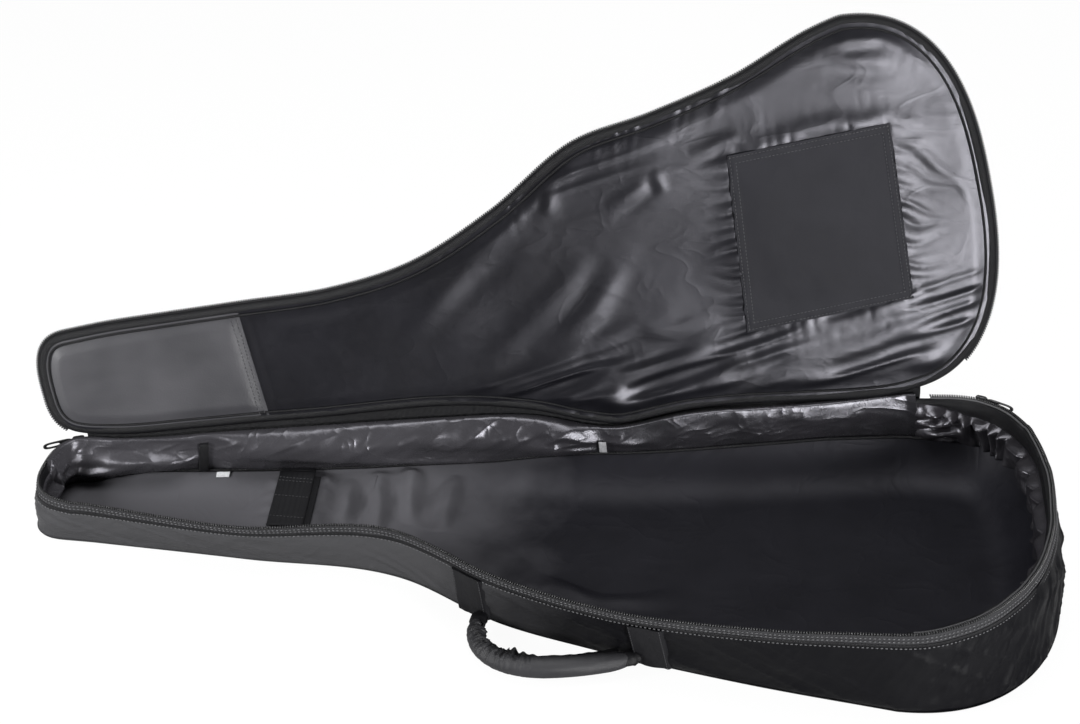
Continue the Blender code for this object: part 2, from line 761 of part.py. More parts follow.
def wall_point(low, high, x, z):
    """Outer face of the near wall at x and height z, with its level outward normal."""
    half = side_count()
    line = at_height(low, high, z)[:half]
    out = outward(at_height(low, high, z))[:half]
    here = np.array([x, np.interp(x, line[:, 0], line[:, 1]), z])
    normal = np.array([np.interp(x, line[:, 0], out[:, 0]), np.interp(x, line[:, 0], out[:, 1]), 0])
    return here, normal / np.linalg.norm(normal)


def handle(home, low, high):
    """Carry handle: two bands up the near wall and a padded sleeve that swings from their feet."""
    ends = []
    for side, x, off, rise in (("left", HANDLE_LEFT_X, HANDLE_OFF_LEFT, BAND_RISE_LEFT),
                               ("right", HANDLE_RIGHT_X, HANDLE_OFF_RIGHT, BAND_RISE_RIGHT)):
        path = []
        along = []
        for share in np.linspace(0.0, 1.0, 5):
            z = PANEL + 0.004 + share * (depth(x) * 0.93 - TAPE_HEIGHT - PANEL - 0.012)
            spot, out = wall_point(low, high, x, z)
            path.append(spot + out * (rise + WEBBING_THICK / 2))
            along.append(np.cross(np.array([0, 0, 1.0]), out))
        finish(ribbon("handle_band_" + side, path, along, HANDLE_BAND_WIDTH, WEBBING_THICK),
               home, coat("handle_band_" + side, "webbing"))
        shift = HANDLE_START_SHIFT if side == "left" else 0.0
        spot, out = wall_point(low, high, x + shift, HANDLE_HEIGHT)
        ends.append(spot + out * off)
    left, right = ends
    chord = right - left
    along = chord / np.linalg.norm(chord)
    away = np.array([along[1], -along[0], 0])
    middle = (left + right) / 2
    pivot = empty("handle_hinge", home, Matrix.Translation(Vector(middle)))
    t = np.linspace(0, 1, 41)
    reach = HANDLE_REACH * np.sin(math.pi * t ** HANDLE_SKEW) ** HANDLE_CURL
    path = left + chord * t[:, None] + away * reach[:, None] - middle
    far = np.concatenate([[0], np.cumsum(np.linalg.norm(np.diff(path, axis=0), axis=1))])
    steps = np.linspace(0, far[-1], 33)
    path = np.stack([np.interp(steps, far, path[:, i]) for i in range(3)], 1)
    inside = (steps > SLEEVE_END) & (steps < far[-1] - SLEEVE_END)
    sleeve = path[inside]
    up = np.array([0, 0, 1.0])
    body = tube("handle_sleeve", sleeve, SLEEVE_RADIUS, False, 3)
    size = 1 - 0.28 * np.abs(np.linspace(-1, 1, len(sleeve))) ** 6
    body.data.splines[0].points.foreach_set("radius", size)
    finish(body, home, coat("handle_sleeve", "vinyl"), pivot)
    ahead = np.gradient(sleeve, axis=0)
    ahead = ahead / np.linalg.norm(ahead, axis=1)[:, None]
    inward = np.cross(up, ahead)
    inward = inward / np.linalg.norm(inward, axis=1)[:, None]
    if inward[len(sleeve) // 2] @ away > 0:
        inward = -inward
    start = (SLEEVE_RADIUS + GAP) * size[:, None]
    trim = slice(4, -4)
    root = (sleeve + inward * start)[trim]
    edge = (sleeve + inward * (start + SLEEVE_SEAM))[trim]
    thick = up * 0.0009
    finish(band("handle_seam", [root - thick, edge - thick, edge + thick, root + thick], False),
           home, coat("handle_seam", "vinyl"), pivot)
    for side, rows in (("left", path[:3]), ("right", path[-3:])):
        goal = sleeve[0] if side == "left" else sleeve[-1]
        start = rows[0] if side == "left" else rows[-1]
        step = ahead[0] if side == "left" else -ahead[-1]
        line = np.array([start - away * 0.0016, start + away * 0.003, goal - step * TAB_STOP])
        flat = np.cross(up, step)
        finish(ribbon("handle_tab_" + side, line, [along, along, flat], TAB_WIDTH, WEBBING_THICK),
               home, coat("handle_tab_" + side, "webbing"), pivot)
    return pivot


def small_trim(home, low, high):
    """Binding strip on the far lining, a bare tab and a bare label."""
    half = side_count()
    depth_in = -PANEL - WALL_PAD - 2 * GAP
    face = moved(at_height(low, high, 0.020), depth_in)[half:][::-1]
    top = moved(at_fall(low, high, TAPE_HEIGHT + 0.004), depth_in)[half:][::-1]
    x = -0.378
    foot = np.array([x, np.interp(x, face[:, 0], face[:, 1]) - 0.0010, 0.0350])
    head = np.array([x, np.interp(x, top[:, 0], top[:, 1]) - 0.0010, depth(x) - 0.020])
    path = np.array([foot, (foot + head) / 2, head])
    along = np.array([1.0, HINGE_SLOPE, 0])
    finish(ribbon("far_lining_strip", path, [along] * 3, 0.008, 0.0012), home,
           coat("far_lining_strip", "binding"))
    floor = PANEL + FOAM + LINING + 3 * GAP
    tab = box("care_tab", (0.014, 0.0008, 0.007))
    x = -0.354
    tab.location = (x, np.interp(x, face[:, 0], face[:, 1]) - 0.0006, 0.0222)
    tab.rotation_euler[2] = math.atan(HINGE_SLOPE)
    finish(tab, home, coat("care_tab", "label"))
    x = 0.060
    spot = np.array([x, np.interp(x, top[:, 0], top[:, 1]) - 0.0008, 0.0580])
    path = np.array([spot - [0, 0, 0.007], spot, spot + [0, 0, 0.007]])
    finish(ribbon("bare_label", path, [along] * 3, 0.008, 0.0008), home, coat("bare_label", "label"))
    floor_piping(home, low, high, floor + PIPING_RADIUS + 0.0001)


def floor_piping(home, low, high, rest):
    """Piping of the floor: on the floor along the near side, and some way up the lining round the tail and far side."""
    half = side_count()
    place = np.arange(len(low))
    x = low[:, 0]
    up = np.where(place >= half, np.interp(x, PIPING_X, PIPING_Z), np.interp(x, (0.34, 0.50), (rest, PIPING_Z[-1])))
    up = np.maximum(up, rest)
    share = np.clip((up - rest) / 0.012, 0, 1)
    flat = moved(low, -PANEL - WALL_PAD - FLOOR_CLEAR - 0.0022)
    flat[:, 2] = rest
    wall = moved(at_height(low, high, up), -PANEL - WALL_PAD - 4 * GAP - PIPING_RADIUS)
    line = flat + (wall - flat) * share[:, None]
    finish(tube("floor_piping", line, PIPING_RADIUS, True), home, coat("floor_piping", "binding"))


def build():
    clear_scene()
    home = collection(NAME)
    back(home)
    low, high = walls(home)
    line = zipper(home, low, high)
    main_sliders(home, line)
    lid(home)
    top, near, far = neck_rest(home)
    neck_strap(home, top, near, far)
    handle(home, low, high)
    small_trim(home, low, high)


build()
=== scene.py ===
# %% [markdown]
# # A gig bag that lies open on its back
# The bag is made of soft cloth: a padded base, a lid that hangs from its far side, a long coil
# zipper between them, and a carry handle. The hard model gives the sizes and the joints. Here each
# cloth is made again as a surface with its own folds, and gets a finish of its own.

# %% Load the frame
import math

import bmesh
import bpy
import numpy as np
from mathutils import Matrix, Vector


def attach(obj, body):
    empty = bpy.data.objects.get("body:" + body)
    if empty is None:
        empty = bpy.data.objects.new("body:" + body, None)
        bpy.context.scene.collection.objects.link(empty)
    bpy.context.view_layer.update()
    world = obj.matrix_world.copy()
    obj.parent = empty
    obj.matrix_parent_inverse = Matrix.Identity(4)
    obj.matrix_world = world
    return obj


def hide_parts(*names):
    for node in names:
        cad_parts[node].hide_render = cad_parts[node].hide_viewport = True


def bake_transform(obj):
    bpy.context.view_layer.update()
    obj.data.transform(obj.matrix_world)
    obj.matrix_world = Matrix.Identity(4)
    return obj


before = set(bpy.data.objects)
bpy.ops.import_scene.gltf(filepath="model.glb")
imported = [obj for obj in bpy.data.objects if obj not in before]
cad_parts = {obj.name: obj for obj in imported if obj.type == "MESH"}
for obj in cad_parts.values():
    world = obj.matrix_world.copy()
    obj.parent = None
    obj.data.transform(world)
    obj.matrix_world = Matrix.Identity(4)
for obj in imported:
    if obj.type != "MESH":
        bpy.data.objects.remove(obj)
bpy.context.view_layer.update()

# %% [markdown]
# ## Camera
# The photo was taken from in front and above with a long lens. The camera is set by two angles, the
# point that it looks at and its distance, because these four can be read from the bag's outline.

# %% Camera
TURN = math.radians(8)
TILT = math.radians(31)
AIM = np.array([-0.0509, 0.3818, 0.0])
FAR_OFF = 2.6508
LENS = 36 * 2200 / 1080


def set_camera():
    """Camera at the aim minus the view direction times the distance, level, with a 36 mm sensor."""
    ahead = np.array([-math.sin(TURN) * math.cos(TILT), math.cos(TURN) * math.cos(TILT), -math.sin(TILT)])
    data = bpy.data.cameras.new("photo_camera")
    data.lens = LENS
    data.sensor_width = 36
    made = bpy.data.objects.new("photo_camera", data)
    made.location = AIM - ahead * FAR_OFF
    made.rotation_euler = (math.pi / 2 - TILT, 0, TURN)
    bpy.context.scene.collection.objects.link(made)
    bpy.context.scene.camera = made
    return made


camera = set_camera()
print("camera at", [round(c, 3) for c in camera.location])

# %% [markdown]
# ## Outline of the bag
# From above the bag is a guitar's outline. Each side is a smooth curve through a few measured widths,
# and both ends are closed by a rounded factor. The rim leans out a little on the near side and sags
# at the waist on the far side, as an empty soft bag does.

# %% Sizes
# Metres. x runs from the head to the tail, y away from the camera and z up.
HEAD_X, TAIL_X = -0.541, 0.541
HEAD_ROUND, TAIL_ROUND = 0.045, 0.165
# Half widths of the floor at the stations, and how far the near rim flops out there.
STATION_X = (-0.470, -0.300, -0.130, -0.020, 0.075, 0.230, 0.376)
FLOOR_NEAR = (0.054, 0.061, 0.072, 0.132, 0.160, 0.193, 0.214)
FLOOR_FAR = (0.052, 0.080, 0.113, 0.131, 0.138, 0.169, 0.203)
OPEN_LEAN = (0.016, 0.032, 0.022, 0.028, 0.036, 0.030, 0.012)
# How much shorter the rim is than the floor at each end.
TAIL_TUCK, HEAD_TUCK = 0.018, 0.009
# Length and power of the rounded tail, for the near and the far side.
BASE_CORNERS = ((0.165, 2.2), (0.110, 2.6))
LID_CORNERS = ((0.150, 2.6), (0.160, 2.35))
# Height of the floor's piped seam on the far side.
SEAM_X = (-0.500, -0.470, -0.440, -0.340, -0.200, -0.063, 0.045, 0.155, 0.300, 0.400)
SEAM_Z = (0.0125, 0.0230, 0.0285, 0.0280, 0.0275, 0.0314, 0.0444, 0.0487, 0.0545, 0.0520)
MID_DEPTH, DEPTH_SLOPE = 0.087, 0.046
HINGE_SLOPE, HINGE_Y, LID_LIFT = 0.1728, 0.1352, 0.0075
LID_OPEN = math.radians(106)
# Thickness of the outer cloth, height of the floor, and how far below the rim the tape ends.
CLOTH = 0.0024
FLOOR_TOP = 0.0103
TAPE_FALL = 0.013


def depth(x):
    """Height of the zipper line above the floor: it rises in a straight line to the tail."""
    return MID_DEPTH + DEPTH_SLOPE * x


def hinge_y(x):
    """The hinge line seen from above: a straight line."""
    return HINGE_Y + HINGE_SLOPE * x


def rounded(w, power):
    """|w| ** power with w's sign: it squares off a circle's cosines and sines."""
    return np.sign(w) * np.abs(w) ** power


def smoothstep(t):
    """0 below 0, 1 above 1, and 3t^2 - 2t^3 between."""
    t = np.clip(t, 0, 1)
    return t * t * (3 - 2 * t)


def bump_at(x, centre, width):
    """A bell: e to the power of minus the squared distance from the centre over the width."""
    return np.exp(-((x - centre) / width) ** 2)


def through(xs, ys, x):
    """Smooth curve through points: a cubic on each stretch, with the slopes of its neighbours."""
    xs = np.array(xs, float)
    ys = np.array(ys, float)
    slopes = np.gradient(ys, xs)
    x = np.clip(np.asarray(x, float), xs[0], xs[-1])
    i = np.clip(np.searchsorted(xs, x) - 1, 0, len(xs) - 2)
    step = xs[i + 1] - xs[i]
    t = (x - xs[i]) / step
    low = (1 + 2 * t) * (1 - t) ** 2 * ys[i] + t * (1 - t) ** 2 * step * slopes[i]
    return low + t * t * (3 - 2 * t) * ys[i + 1] + t * t * (t - 1) * step * slopes[i + 1]


def rounding(x, head, tail, corner):
    """Closes the outline at its ends: (1 - a^p)^(1/p), where a runs from 0 to 1 over the rounded part."""
    length, power = corner
    a = np.clip((head + HEAD_ROUND - x) / HEAD_ROUND, 0, 1)
    b = np.clip((x - tail + length) / length, 0, 1)
    return (1 - a ** 2.8) ** (1 / 2.8) * (1 - b ** power) ** (1 / power)


def places(head, tail, counts):
    """Places along the bag: by a cosine at both rounded ends, so that points crowd there, even between."""
    a = head + HEAD_ROUND * (1 - np.cos(np.linspace(0, math.pi / 2, counts[0])))
    b = tail - TAIL_ROUND * (1 - np.cos(np.linspace(math.pi / 2, 0, counts[2])))
    return np.concatenate([a, np.linspace(a[-1], b[0], counts[1])[1:-1], b])


def outline(near, far, head, tail, counts, corners=BASE_CORNERS):
    """Closed loop in plan: the near side from head to tail, then the far side back."""
    x = places(head, tail, counts)
    low = np.stack([x, -near(x) * rounding(x, head, tail, corners[0]), 0 * x], 1)
    high = np.stack([x, far(x) * rounding(x, head, tail, corners[1]), 0 * x], 1)
    return np.concatenate([low, high[-2:0:-1]])


# Points on the head's curve, on the sides and on the tail's curve.
FINE = (60, 420, 160)
FLOOR_COUNTS = (26, 230, 90)


def lean(x):
    """How far the near wall flops outward: the measured lean, faded out at both ends."""
    return through(STATION_X, OPEN_LEAN, x) * np.clip((TAIL_X - 0.03 - x) / 0.12, 0, 1) * np.clip(
        (x - HEAD_X) / 0.06, 0, 1)


def sag(x):
    """How far the far rim hangs below the zipper line: a bell at the waist and two slight ones."""
    waist = 0.0165 * bump_at(x, 0.060, 0.062)
    return waist + 0.005 * bump_at(x, 0.26, 0.15) + 0.003 * bump_at(x, -0.43, 0.06)


def foot_loop(counts=FINE):
    """Outline where the bag meets the floor."""
    return outline(lambda x: through(STATION_X, FLOOR_NEAR, x), lambda x: through(STATION_X, FLOOR_FAR, x),
                   HEAD_X, TAIL_X, counts)


def rim_loop(counts=FINE):
    """The zipper line of the base, at the height that is left when the wall leans out."""
    loop = outline(lambda x: through(STATION_X, FLOOR_NEAR, x) + lean(x),
                   lambda x: through(STATION_X, FLOOR_FAR, x), HEAD_X + HEAD_TUCK, TAIL_X - TAIL_TUCK, counts)
    near = np.arange(len(loop)) < sum(counts) - 2
    x = loop[:, 0]
    loop[:, 2] = np.where(near, np.sqrt(depth(x) ** 2 - lean(x) ** 2), depth(x) - sag(x))
    return loop


def evenly(loops, count):
    """Matching loops at even steps of the first one's length, with the first point again at the end."""
    closed = [np.concatenate([p, p[:1]]) for p in loops]
    far = np.concatenate([[0], np.cumsum(np.linalg.norm(np.diff(closed[0], axis=0), axis=1))])
    steps = np.linspace(0, far[-1], count + 1)
    return steps, [np.stack([np.interp(steps, far, p[:, i]) for i in range(3)], 1) for p in closed]


def outward(loop):
    """Level normals of a closed loop whose last point is its first, pointing away from the bag."""
    core = loop[:-1]
    ahead = np.roll(core, -1, 0) - np.roll(core, 1, 0)
    normal = np.stack([ahead[:, 1], -ahead[:, 0], 0 * ahead[:, 0]], 1)
    normal = normal / np.linalg.norm(normal, axis=1)[:, None]
    return np.concatenate([normal, normal[:1]])


def seam_height(x, near):
    """How far up the lining the floor's piped seam runs: low on the near side, higher round the far one."""
    low = FLOOR_TOP + 0.0010
    beside = np.interp(x, (0.34, 0.50), (low, SEAM_Z[-1]))
    return np.maximum(np.where(near, beside, np.interp(x, SEAM_X, SEAM_Z)), low)


def seam_line(low, high, up, room):
    """Points on the wall at the heights up, moved in from its outside by room."""
    closed = np.concatenate([low, low[:1]])
    return low + (high - low) * (up / high[:, 2])[:, None] - outward(closed)[:-1] * room


STEPS, (FOOT, RIM) = evenly([foot_loop(), rim_loop()], 1300)
OUT = outward((FOOT + RIM) / 2)
TAIL_END = int(np.argmax(FOOT[:, 0]))
SEAM_UP = seam_height(FOOT[:, 0], np.arange(len(FOOT)) <= TAIL_END)


def at_steps(s, line):
    """Points of a line round the bag at the distances s."""
    return np.stack([np.interp(s, STEPS, line[:, i]) for i in range(3)], 1)


print("way round the bag", round(float(STEPS[-1]), 3), "m")

# %% [markdown]
# ## The lid's own frame
# The lid is measured as if it were shut, as x, y and a height off its plane. One turn about the hinge
# line then opens it. The lower edge follows the far rim's slack curve, so it dips below the hinge line.

# %% Lid frame
# Free edge of the lid, and how far its hinged edge dips below the hinge line.
LID_X = (-0.496, -0.447, -0.390, -0.302, -0.205, -0.115, -0.020, 0.079, 0.167, 0.257, 0.348, 0.380)
LID_NEAR = (0.068, 0.067, 0.063, 0.056, 0.049, 0.057, 0.092, 0.144, 0.156, 0.174, 0.2045, 0.2115)
DIP_X = (-0.507, -0.464, -0.389, -0.315, -0.241, -0.185, -0.129, -0.057, -0.021, 0.027, 0.066, 0.095, 0.136,
         0.176, 0.256, 0.334, 0.386)
DIP = (0.004, 0.007, 0.005, 0.002, 0.000, -0.003, -0.005, 0.000, 0.006, 0.020, 0.026, 0.022, 0.015,
       0.012, 0.012, 0.012, 0.008)
AXIS = np.array([1.0, HINGE_SLOPE, DEPTH_SLOPE]) / np.linalg.norm([1.0, HINGE_SLOPE, DEPTH_SLOPE])
PIVOT = np.array([0.0, HINGE_Y, MID_DEPTH + LID_LIFT])


def turned(v, angle):
    """v turned about the hinge axis: v cos + (axis x v) sin + axis (axis . v)(1 - cos)."""
    c, s = math.cos(angle), math.sin(angle)
    return v * c + np.cross(AXIS, v) * s + (v @ AXIS)[..., None] * AXIS * (1 - c)


def opened(plan, rise):
    """Points of the shut lid, in plan and at a height off its plane, put where they are when it is open."""
    x, y = plan[..., 0], plan[..., 1]
    shut = np.stack([x, y, depth(x) + LID_LIFT + rise], -1)
    return turned(shut - PIVOT, -LID_OPEN) + PIVOT


def lid_outline(counts=FINE):
    """The lid's edge in plan: the measured free edge, and the hinge line plus the dip."""
    return outline(lambda x: through(LID_X, LID_NEAR, x), lambda x: hinge_y(x) + through(DIP_X, DIP, x),
                   HEAD_X + 0.006, TAIL_X - 0.036, counts, LID_CORNERS)


def inset(loop, amount):
    """A loop moved inward in plan by an amount."""
    closed = np.concatenate([loop, loop[:1]])
    return loop - outward(closed)[:-1] * amount


UP_LID = turned(np.cross(AXIS, np.array([0.0, 0.0, 1.0])) * -1.0, -LID_OPEN)
UP_LID = UP_LID / np.linalg.norm(UP_LID)
if UP_LID[2] < 0:
    UP_LID = -UP_LID
print("up the lid", np.round(UP_LID, 3), "across the hinge", round(float(UP_LID @ AXIS), 6))

# %% [markdown]
# ## Tools for cloth
# Folds are heights worked out on a grid. Value noise gives soft waves and its ridges give creases.
# A cloth is a fine front face closed by a plain back a little way behind it, so that it has a thickness
# without doubling its faces. Cords are a round section carried along a path. Teeth and stitches are one
# small shape repeated at even steps.

# %% Noise


def noise(u, v, seed):
    """Random values on a square grid, joined by a fifth-power smoothstep. The result is from -1 to 1."""
    table = np.random.default_rng(seed).uniform(-1, 1, (97, 89))
    u, v = np.broadcast_arrays(np.asarray(u, float), np.asarray(v, float))
    i, j = np.floor(u).astype(int), np.floor(v).astype(int)
    s, t = u - i, v - j
    s = s ** 3 * (s * (6 * s - 15) + 10)
    t = t ** 3 * (t * (6 * t - 15) + 10)
    a, b = table[i % 97, j % 89], table[(i + 1) % 97, j % 89]
    c, d = table[i % 97, (j + 1) % 89], table[(i + 1) % 97, (j + 1) % 89]
    return (a * (1 - s) + b * s) * (1 - t) + (c * (1 - s) + d * s) * t


def layered(u, v, seed, layers=3):
    """Noise summed at doubling frequencies and halving heights, each layer turned by a fixed angle."""
    total, size = 0, 1.0
    for k in range(layers):
        c, s = math.cos(0.9 * k), math.sin(0.9 * k)
        total = total + size * noise((u * c - v * s) * 2 ** k, (u * s + v * c) * 2 ** k, seed + 7 * k)
        size = size * 0.5
    return total


def crease(u, v, seed, sharp=2.0):
    """Ridges along the noise's zero lines: (1 - |noise|) ** sharp, from 0 to 1."""
    return (1 - np.abs(layered(u, v, seed, 2)) / 1.5) ** (2 * sharp)


def slanted(x, y, angle, along, across):
    """Coordinates turned by an angle and divided by the length and width of a fold."""
    c, s = math.cos(angle), math.sin(angle)
    return (x * c + y * s) / along, (-x * s + y * c) / across


def along(x, y, line):
    """Signed distance to a bent line, and how far along it the nearest point is, from 0 to 1."""
    line = np.array(line)
    steps = np.diff(line, axis=0)
    lengths = np.hypot(steps[:, 0], steps[:, 1])
    best, side, share, gone = np.full(x.shape, 9.0), np.ones(x.shape), np.zeros(x.shape), 0.0
    for start, step, length in zip(line, steps, lengths):
        t = np.clip(((x - start[0]) * step[0] + (y - start[1]) * step[1]) / length ** 2, 0, 1)
        dx, dy = x - start[0] - t * step[0], y - start[1] - t * step[1]
        off = np.hypot(dx, dy)
        closer = off < best
        best = np.where(closer, off, best)
        side = np.where(closer, np.sign(step[0] * dy - step[1] * dx), side)
        share = np.where(closer, (gone + t * length) / lengths.sum(), share)
        gone += length
    return best * side, share


def laid_folds(x, y, folds):
    """Sum of ridges along measured lines: a bell across each, a shallow dip beside it, thin at its ends."""
    total = np.zeros(np.shape(x))
    bend = 0.004 * noise(x / 0.035, y / 0.035, 72)
    for height, width, line in folds:
        off, share = along(x + bend, y - bend, line)
        wide = 1.25 * width
        ridge = np.exp(-(off / wide) ** 2) - 0.45 * np.exp(-((off - 1.6 * wide) / wide) ** 2)
        total += height * ridge * np.sin(math.pi * np.clip(share, 0, 1)) ** 0.9
    return total


# %% Meshes


def put(name, points, faces, map_uv=None, weld=0.00003, smooth=True):
    """Mesh object from points and faces, its map in metres, doubles merged and faces turned outward."""
    mesh = bpy.data.meshes.new(name)
    mesh.from_pydata(points.tolist(), [], faces)
    if map_uv is not None:
        layer = mesh.uv_layers.new(name="cloth")
        corner = np.zeros(len(mesh.loops), int)
        mesh.loops.foreach_get("vertex_index", corner)
        layer.data.foreach_set("uv", np.asarray(map_uv, float)[corner].ravel())
    work = bmesh.new()
    work.from_mesh(mesh)
    bmesh.ops.remove_doubles(work, verts=work.verts[:], dist=weld)
    bmesh.ops.dissolve_degenerate(work, edges=work.edges[:], dist=1e-6)
    bmesh.ops.recalc_face_normals(work, faces=work.faces[:])
    for face in work.faces:
        face.smooth = smooth
    work.to_mesh(mesh)
    work.free()
    made = bpy.data.objects.new(name, mesh)
    bpy.context.scene.collection.objects.link(made)
    return made


def grid_faces(rows, columns, start=0):
    """Quads of a grid of points stored row by row."""
    k = np.arange((rows - 1) * columns).reshape(rows - 1, columns)[:, :-1].ravel() + start
    return np.stack([k, k + 1, k + 1 + columns, k + columns], 1).tolist()


def cloth(name, front, back, map_uv=None, closed=False):
    """Front grid of rows x columns points, closed by a coarser back grid and strips along the edges."""
    rows, columns = front.shape[:2]
    points = np.concatenate([front.reshape(-1, 3), back.reshape(-1, 3)])
    faces = grid_faces(rows, columns)
    b = rows * columns
    low, high = np.arange(columns), np.arange(columns) + (rows - 1) * columns
    layers = [np.arange(columns) + b + r * columns for r in range(len(back))]
    for p, q in [(layers[0], low), (high, layers[-1])] + list(zip(layers[1:], layers[:-1])):
        faces += np.stack([p[:-1], p[1:], q[1:], q[:-1]], 1).tolist()
    if not closed:
        for c in (0, columns - 1):
            faces.append((np.arange(rows) * columns + c).tolist() + [int(part[c]) for part in layers[::-1]])
    if map_uv is not None:
        flat = np.asarray(map_uv, float).reshape(-1, 2)
        spread = np.linspace(0, rows - 1, len(back)).round().astype(int)
        map_uv = np.concatenate([flat] + [flat[low + r * columns] for r in spread])
    made = put(name, points, faces, map_uv)
    made.data.set_sharp_from_angle(angle=math.radians(75))
    return made


def ahead_of(path, closed=False):
    """Unit direction of travel at each point of a path."""
    step = np.gradient(path, axis=0)
    if closed:
        core = path[:-1]
        step = np.roll(core, -1, 0) - np.roll(core, 1, 0)
        step = np.concatenate([step, step[:1]])
    return step / np.linalg.norm(step, axis=1)[:, None]


def unit(v):
    return v / np.linalg.norm(v, axis=-1)[..., None]


def cord(name, path, side, section, closed=False, stretch=1.0):
    """Tube: path + side * a(t, s) + (ahead x side) * b(t, s). Section gives a and b round the turn t."""
    ahead = ahead_of(path, closed)
    side = unit(side - (side * ahead).sum(1)[:, None] * ahead)
    other = np.cross(ahead, side)
    turns = np.linspace(0, 2 * math.pi, section[0] + 1)
    a, b = section[1](turns[None, :], np.arange(len(path))[:, None])
    a = np.broadcast_to(a, (len(path), len(turns)))
    b = np.broadcast_to(b, (len(path), len(turns)))
    points = path[:, None] + side[:, None] * a[..., None] + other[:, None] * b[..., None]
    rows, columns = points.shape[:2]
    far = np.concatenate([[0], np.cumsum(np.linalg.norm(np.diff(path, axis=0), axis=1))])
    around = turns / (2 * math.pi) * stretch * float(np.abs(a).max() + np.abs(b).max()) * 3.1
    map_uv = np.stack(np.broadcast_arrays(far[:, None], around[None, :]), -1)
    faces = grid_faces(rows, columns)
    if not closed:
        faces.append(np.arange(columns - 1).tolist())
        faces.append((np.arange(columns - 1) + (rows - 1) * columns).tolist())
    return put(name, points.reshape(-1, 3), faces, map_uv.reshape(-1, 2))


def resampled(path, pitch):
    """Points at even steps along a path, with an even share of what is left over."""
    far = np.concatenate([[0], np.cumsum(np.linalg.norm(np.diff(path, axis=0), axis=1))])
    steps = np.linspace(0, far[-1], max(2, int(round(far[-1] / pitch)) + 1))
    return np.stack([np.interp(steps, far, path[:, i]) for i in range(3)], 1), steps / far[-1]


def bead(length, width, height, sides=6, rings=5):
    """Small capsule along x: its radius is the fourth root of 1 - t^4, where t runs from -1 to 1."""
    t = np.linspace(-1, 1, rings)
    r = np.maximum(1 - t ** 4, 0) ** 0.25
    turn = np.linspace(0, 2 * math.pi, sides, endpoint=False)
    points = np.stack(np.broadcast_arrays(t[:, None] * length / 2, r[:, None] * np.cos(turn) * width / 2,
                                          r[:, None] * np.sin(turn) * height / 2), -1).reshape(-1, 3)
    faces = []
    for k in range(rings - 1):
        for m in range(sides):
            n = (m + 1) % sides
            faces.append((k * sides + m, k * sides + n, (k + 1) * sides + n, (k + 1) * sides + m))
    return points, faces


def sewn(name, runs, shape):
    """One small shape repeated: at each place, its x, y and z go along three given directions."""
    points, faces = shape
    spots = np.concatenate([r[0] for r in runs])
    axes = [np.concatenate([np.broadcast_to(r[k], r[0].shape) for r in runs]) for k in (1, 2, 3)]
    turned_points = sum(points[None, :, k:k + 1] * axes[k][:, None] for k in range(3))
    all_points = (spots[:, None] + turned_points).reshape(-1, 3)
    base = np.array(faces)[None] + (np.arange(len(spots)) * len(points))[:, None, None]
    return put(name, all_points, base.reshape(-1, 4).tolist(), weld=0.000001)


def row_of(path, up, pitch):
    """Places and directions for a sewn row: along the path, across it, and up off the cloth."""
    spots, share = resampled(path, pitch)
    ahead = ahead_of(spots)
    index = share * (len(path) - 1)
    lift = np.stack([np.interp(index, np.arange(len(path)), up[:, i]) for i in range(3)], 1)
    lift = unit(lift - (lift * ahead).sum(1)[:, None] * ahead)
    return spots, ahead, np.cross(lift, ahead), lift


def edge_distance(plan, loop):
    """Distance of points in plan to a closed loop of straight pieces, in blocks to spare memory."""
    start = loop[:, :2]
    step = np.roll(start, -1, axis=0) - start
    size = (step ** 2).sum(1) + 1e-12

    def to_loop(block):
        gap = block[:, None] - start[None]
        share = np.clip((gap * step).sum(2) / size, 0, 1)
        return np.sqrt(((gap - share[..., None] * step) ** 2).sum(2).min(1))

    blocks = np.array_split(plan[..., :2].reshape(-1, 2), 80)
    return np.concatenate([to_loop(block) for block in blocks]).reshape(plan.shape[:-1])


print("tools ready")

# %% [markdown]
# ## Finishes
# A finish is one shader and a few nodes for what changes over the cloth: its colour, its roughness and
# its bumps. Sums of node values read best as plain arithmetic, so a small class stands for a socket.

# %% Shader sums


class Value:
    """A number that comes out of a node. Arithmetic on it adds Math nodes."""

    def __init__(self, finish, socket):
        self.finish, self.socket = finish, socket

    def with_math(self, operation, a, b=0.0):
        return self.finish.node("ShaderNodeMath", {"operation": operation}, {0: a, 1: b})

    def __add__(self, other):
        return self.with_math("ADD", self, other)

    def __sub__(self, other):
        return self.with_math("SUBTRACT", self, other)

    def __mul__(self, other):
        return self.with_math("MULTIPLY", self, other)

    def __truediv__(self, other):
        return self.with_math("DIVIDE", self, other)

    def __pow__(self, other):
        return self.with_math("POWER", self, other)

    def __rsub__(self, other):
        return self.with_math("SUBTRACT", other, self)

    __radd__ = __add__
    __rmul__ = __mul__


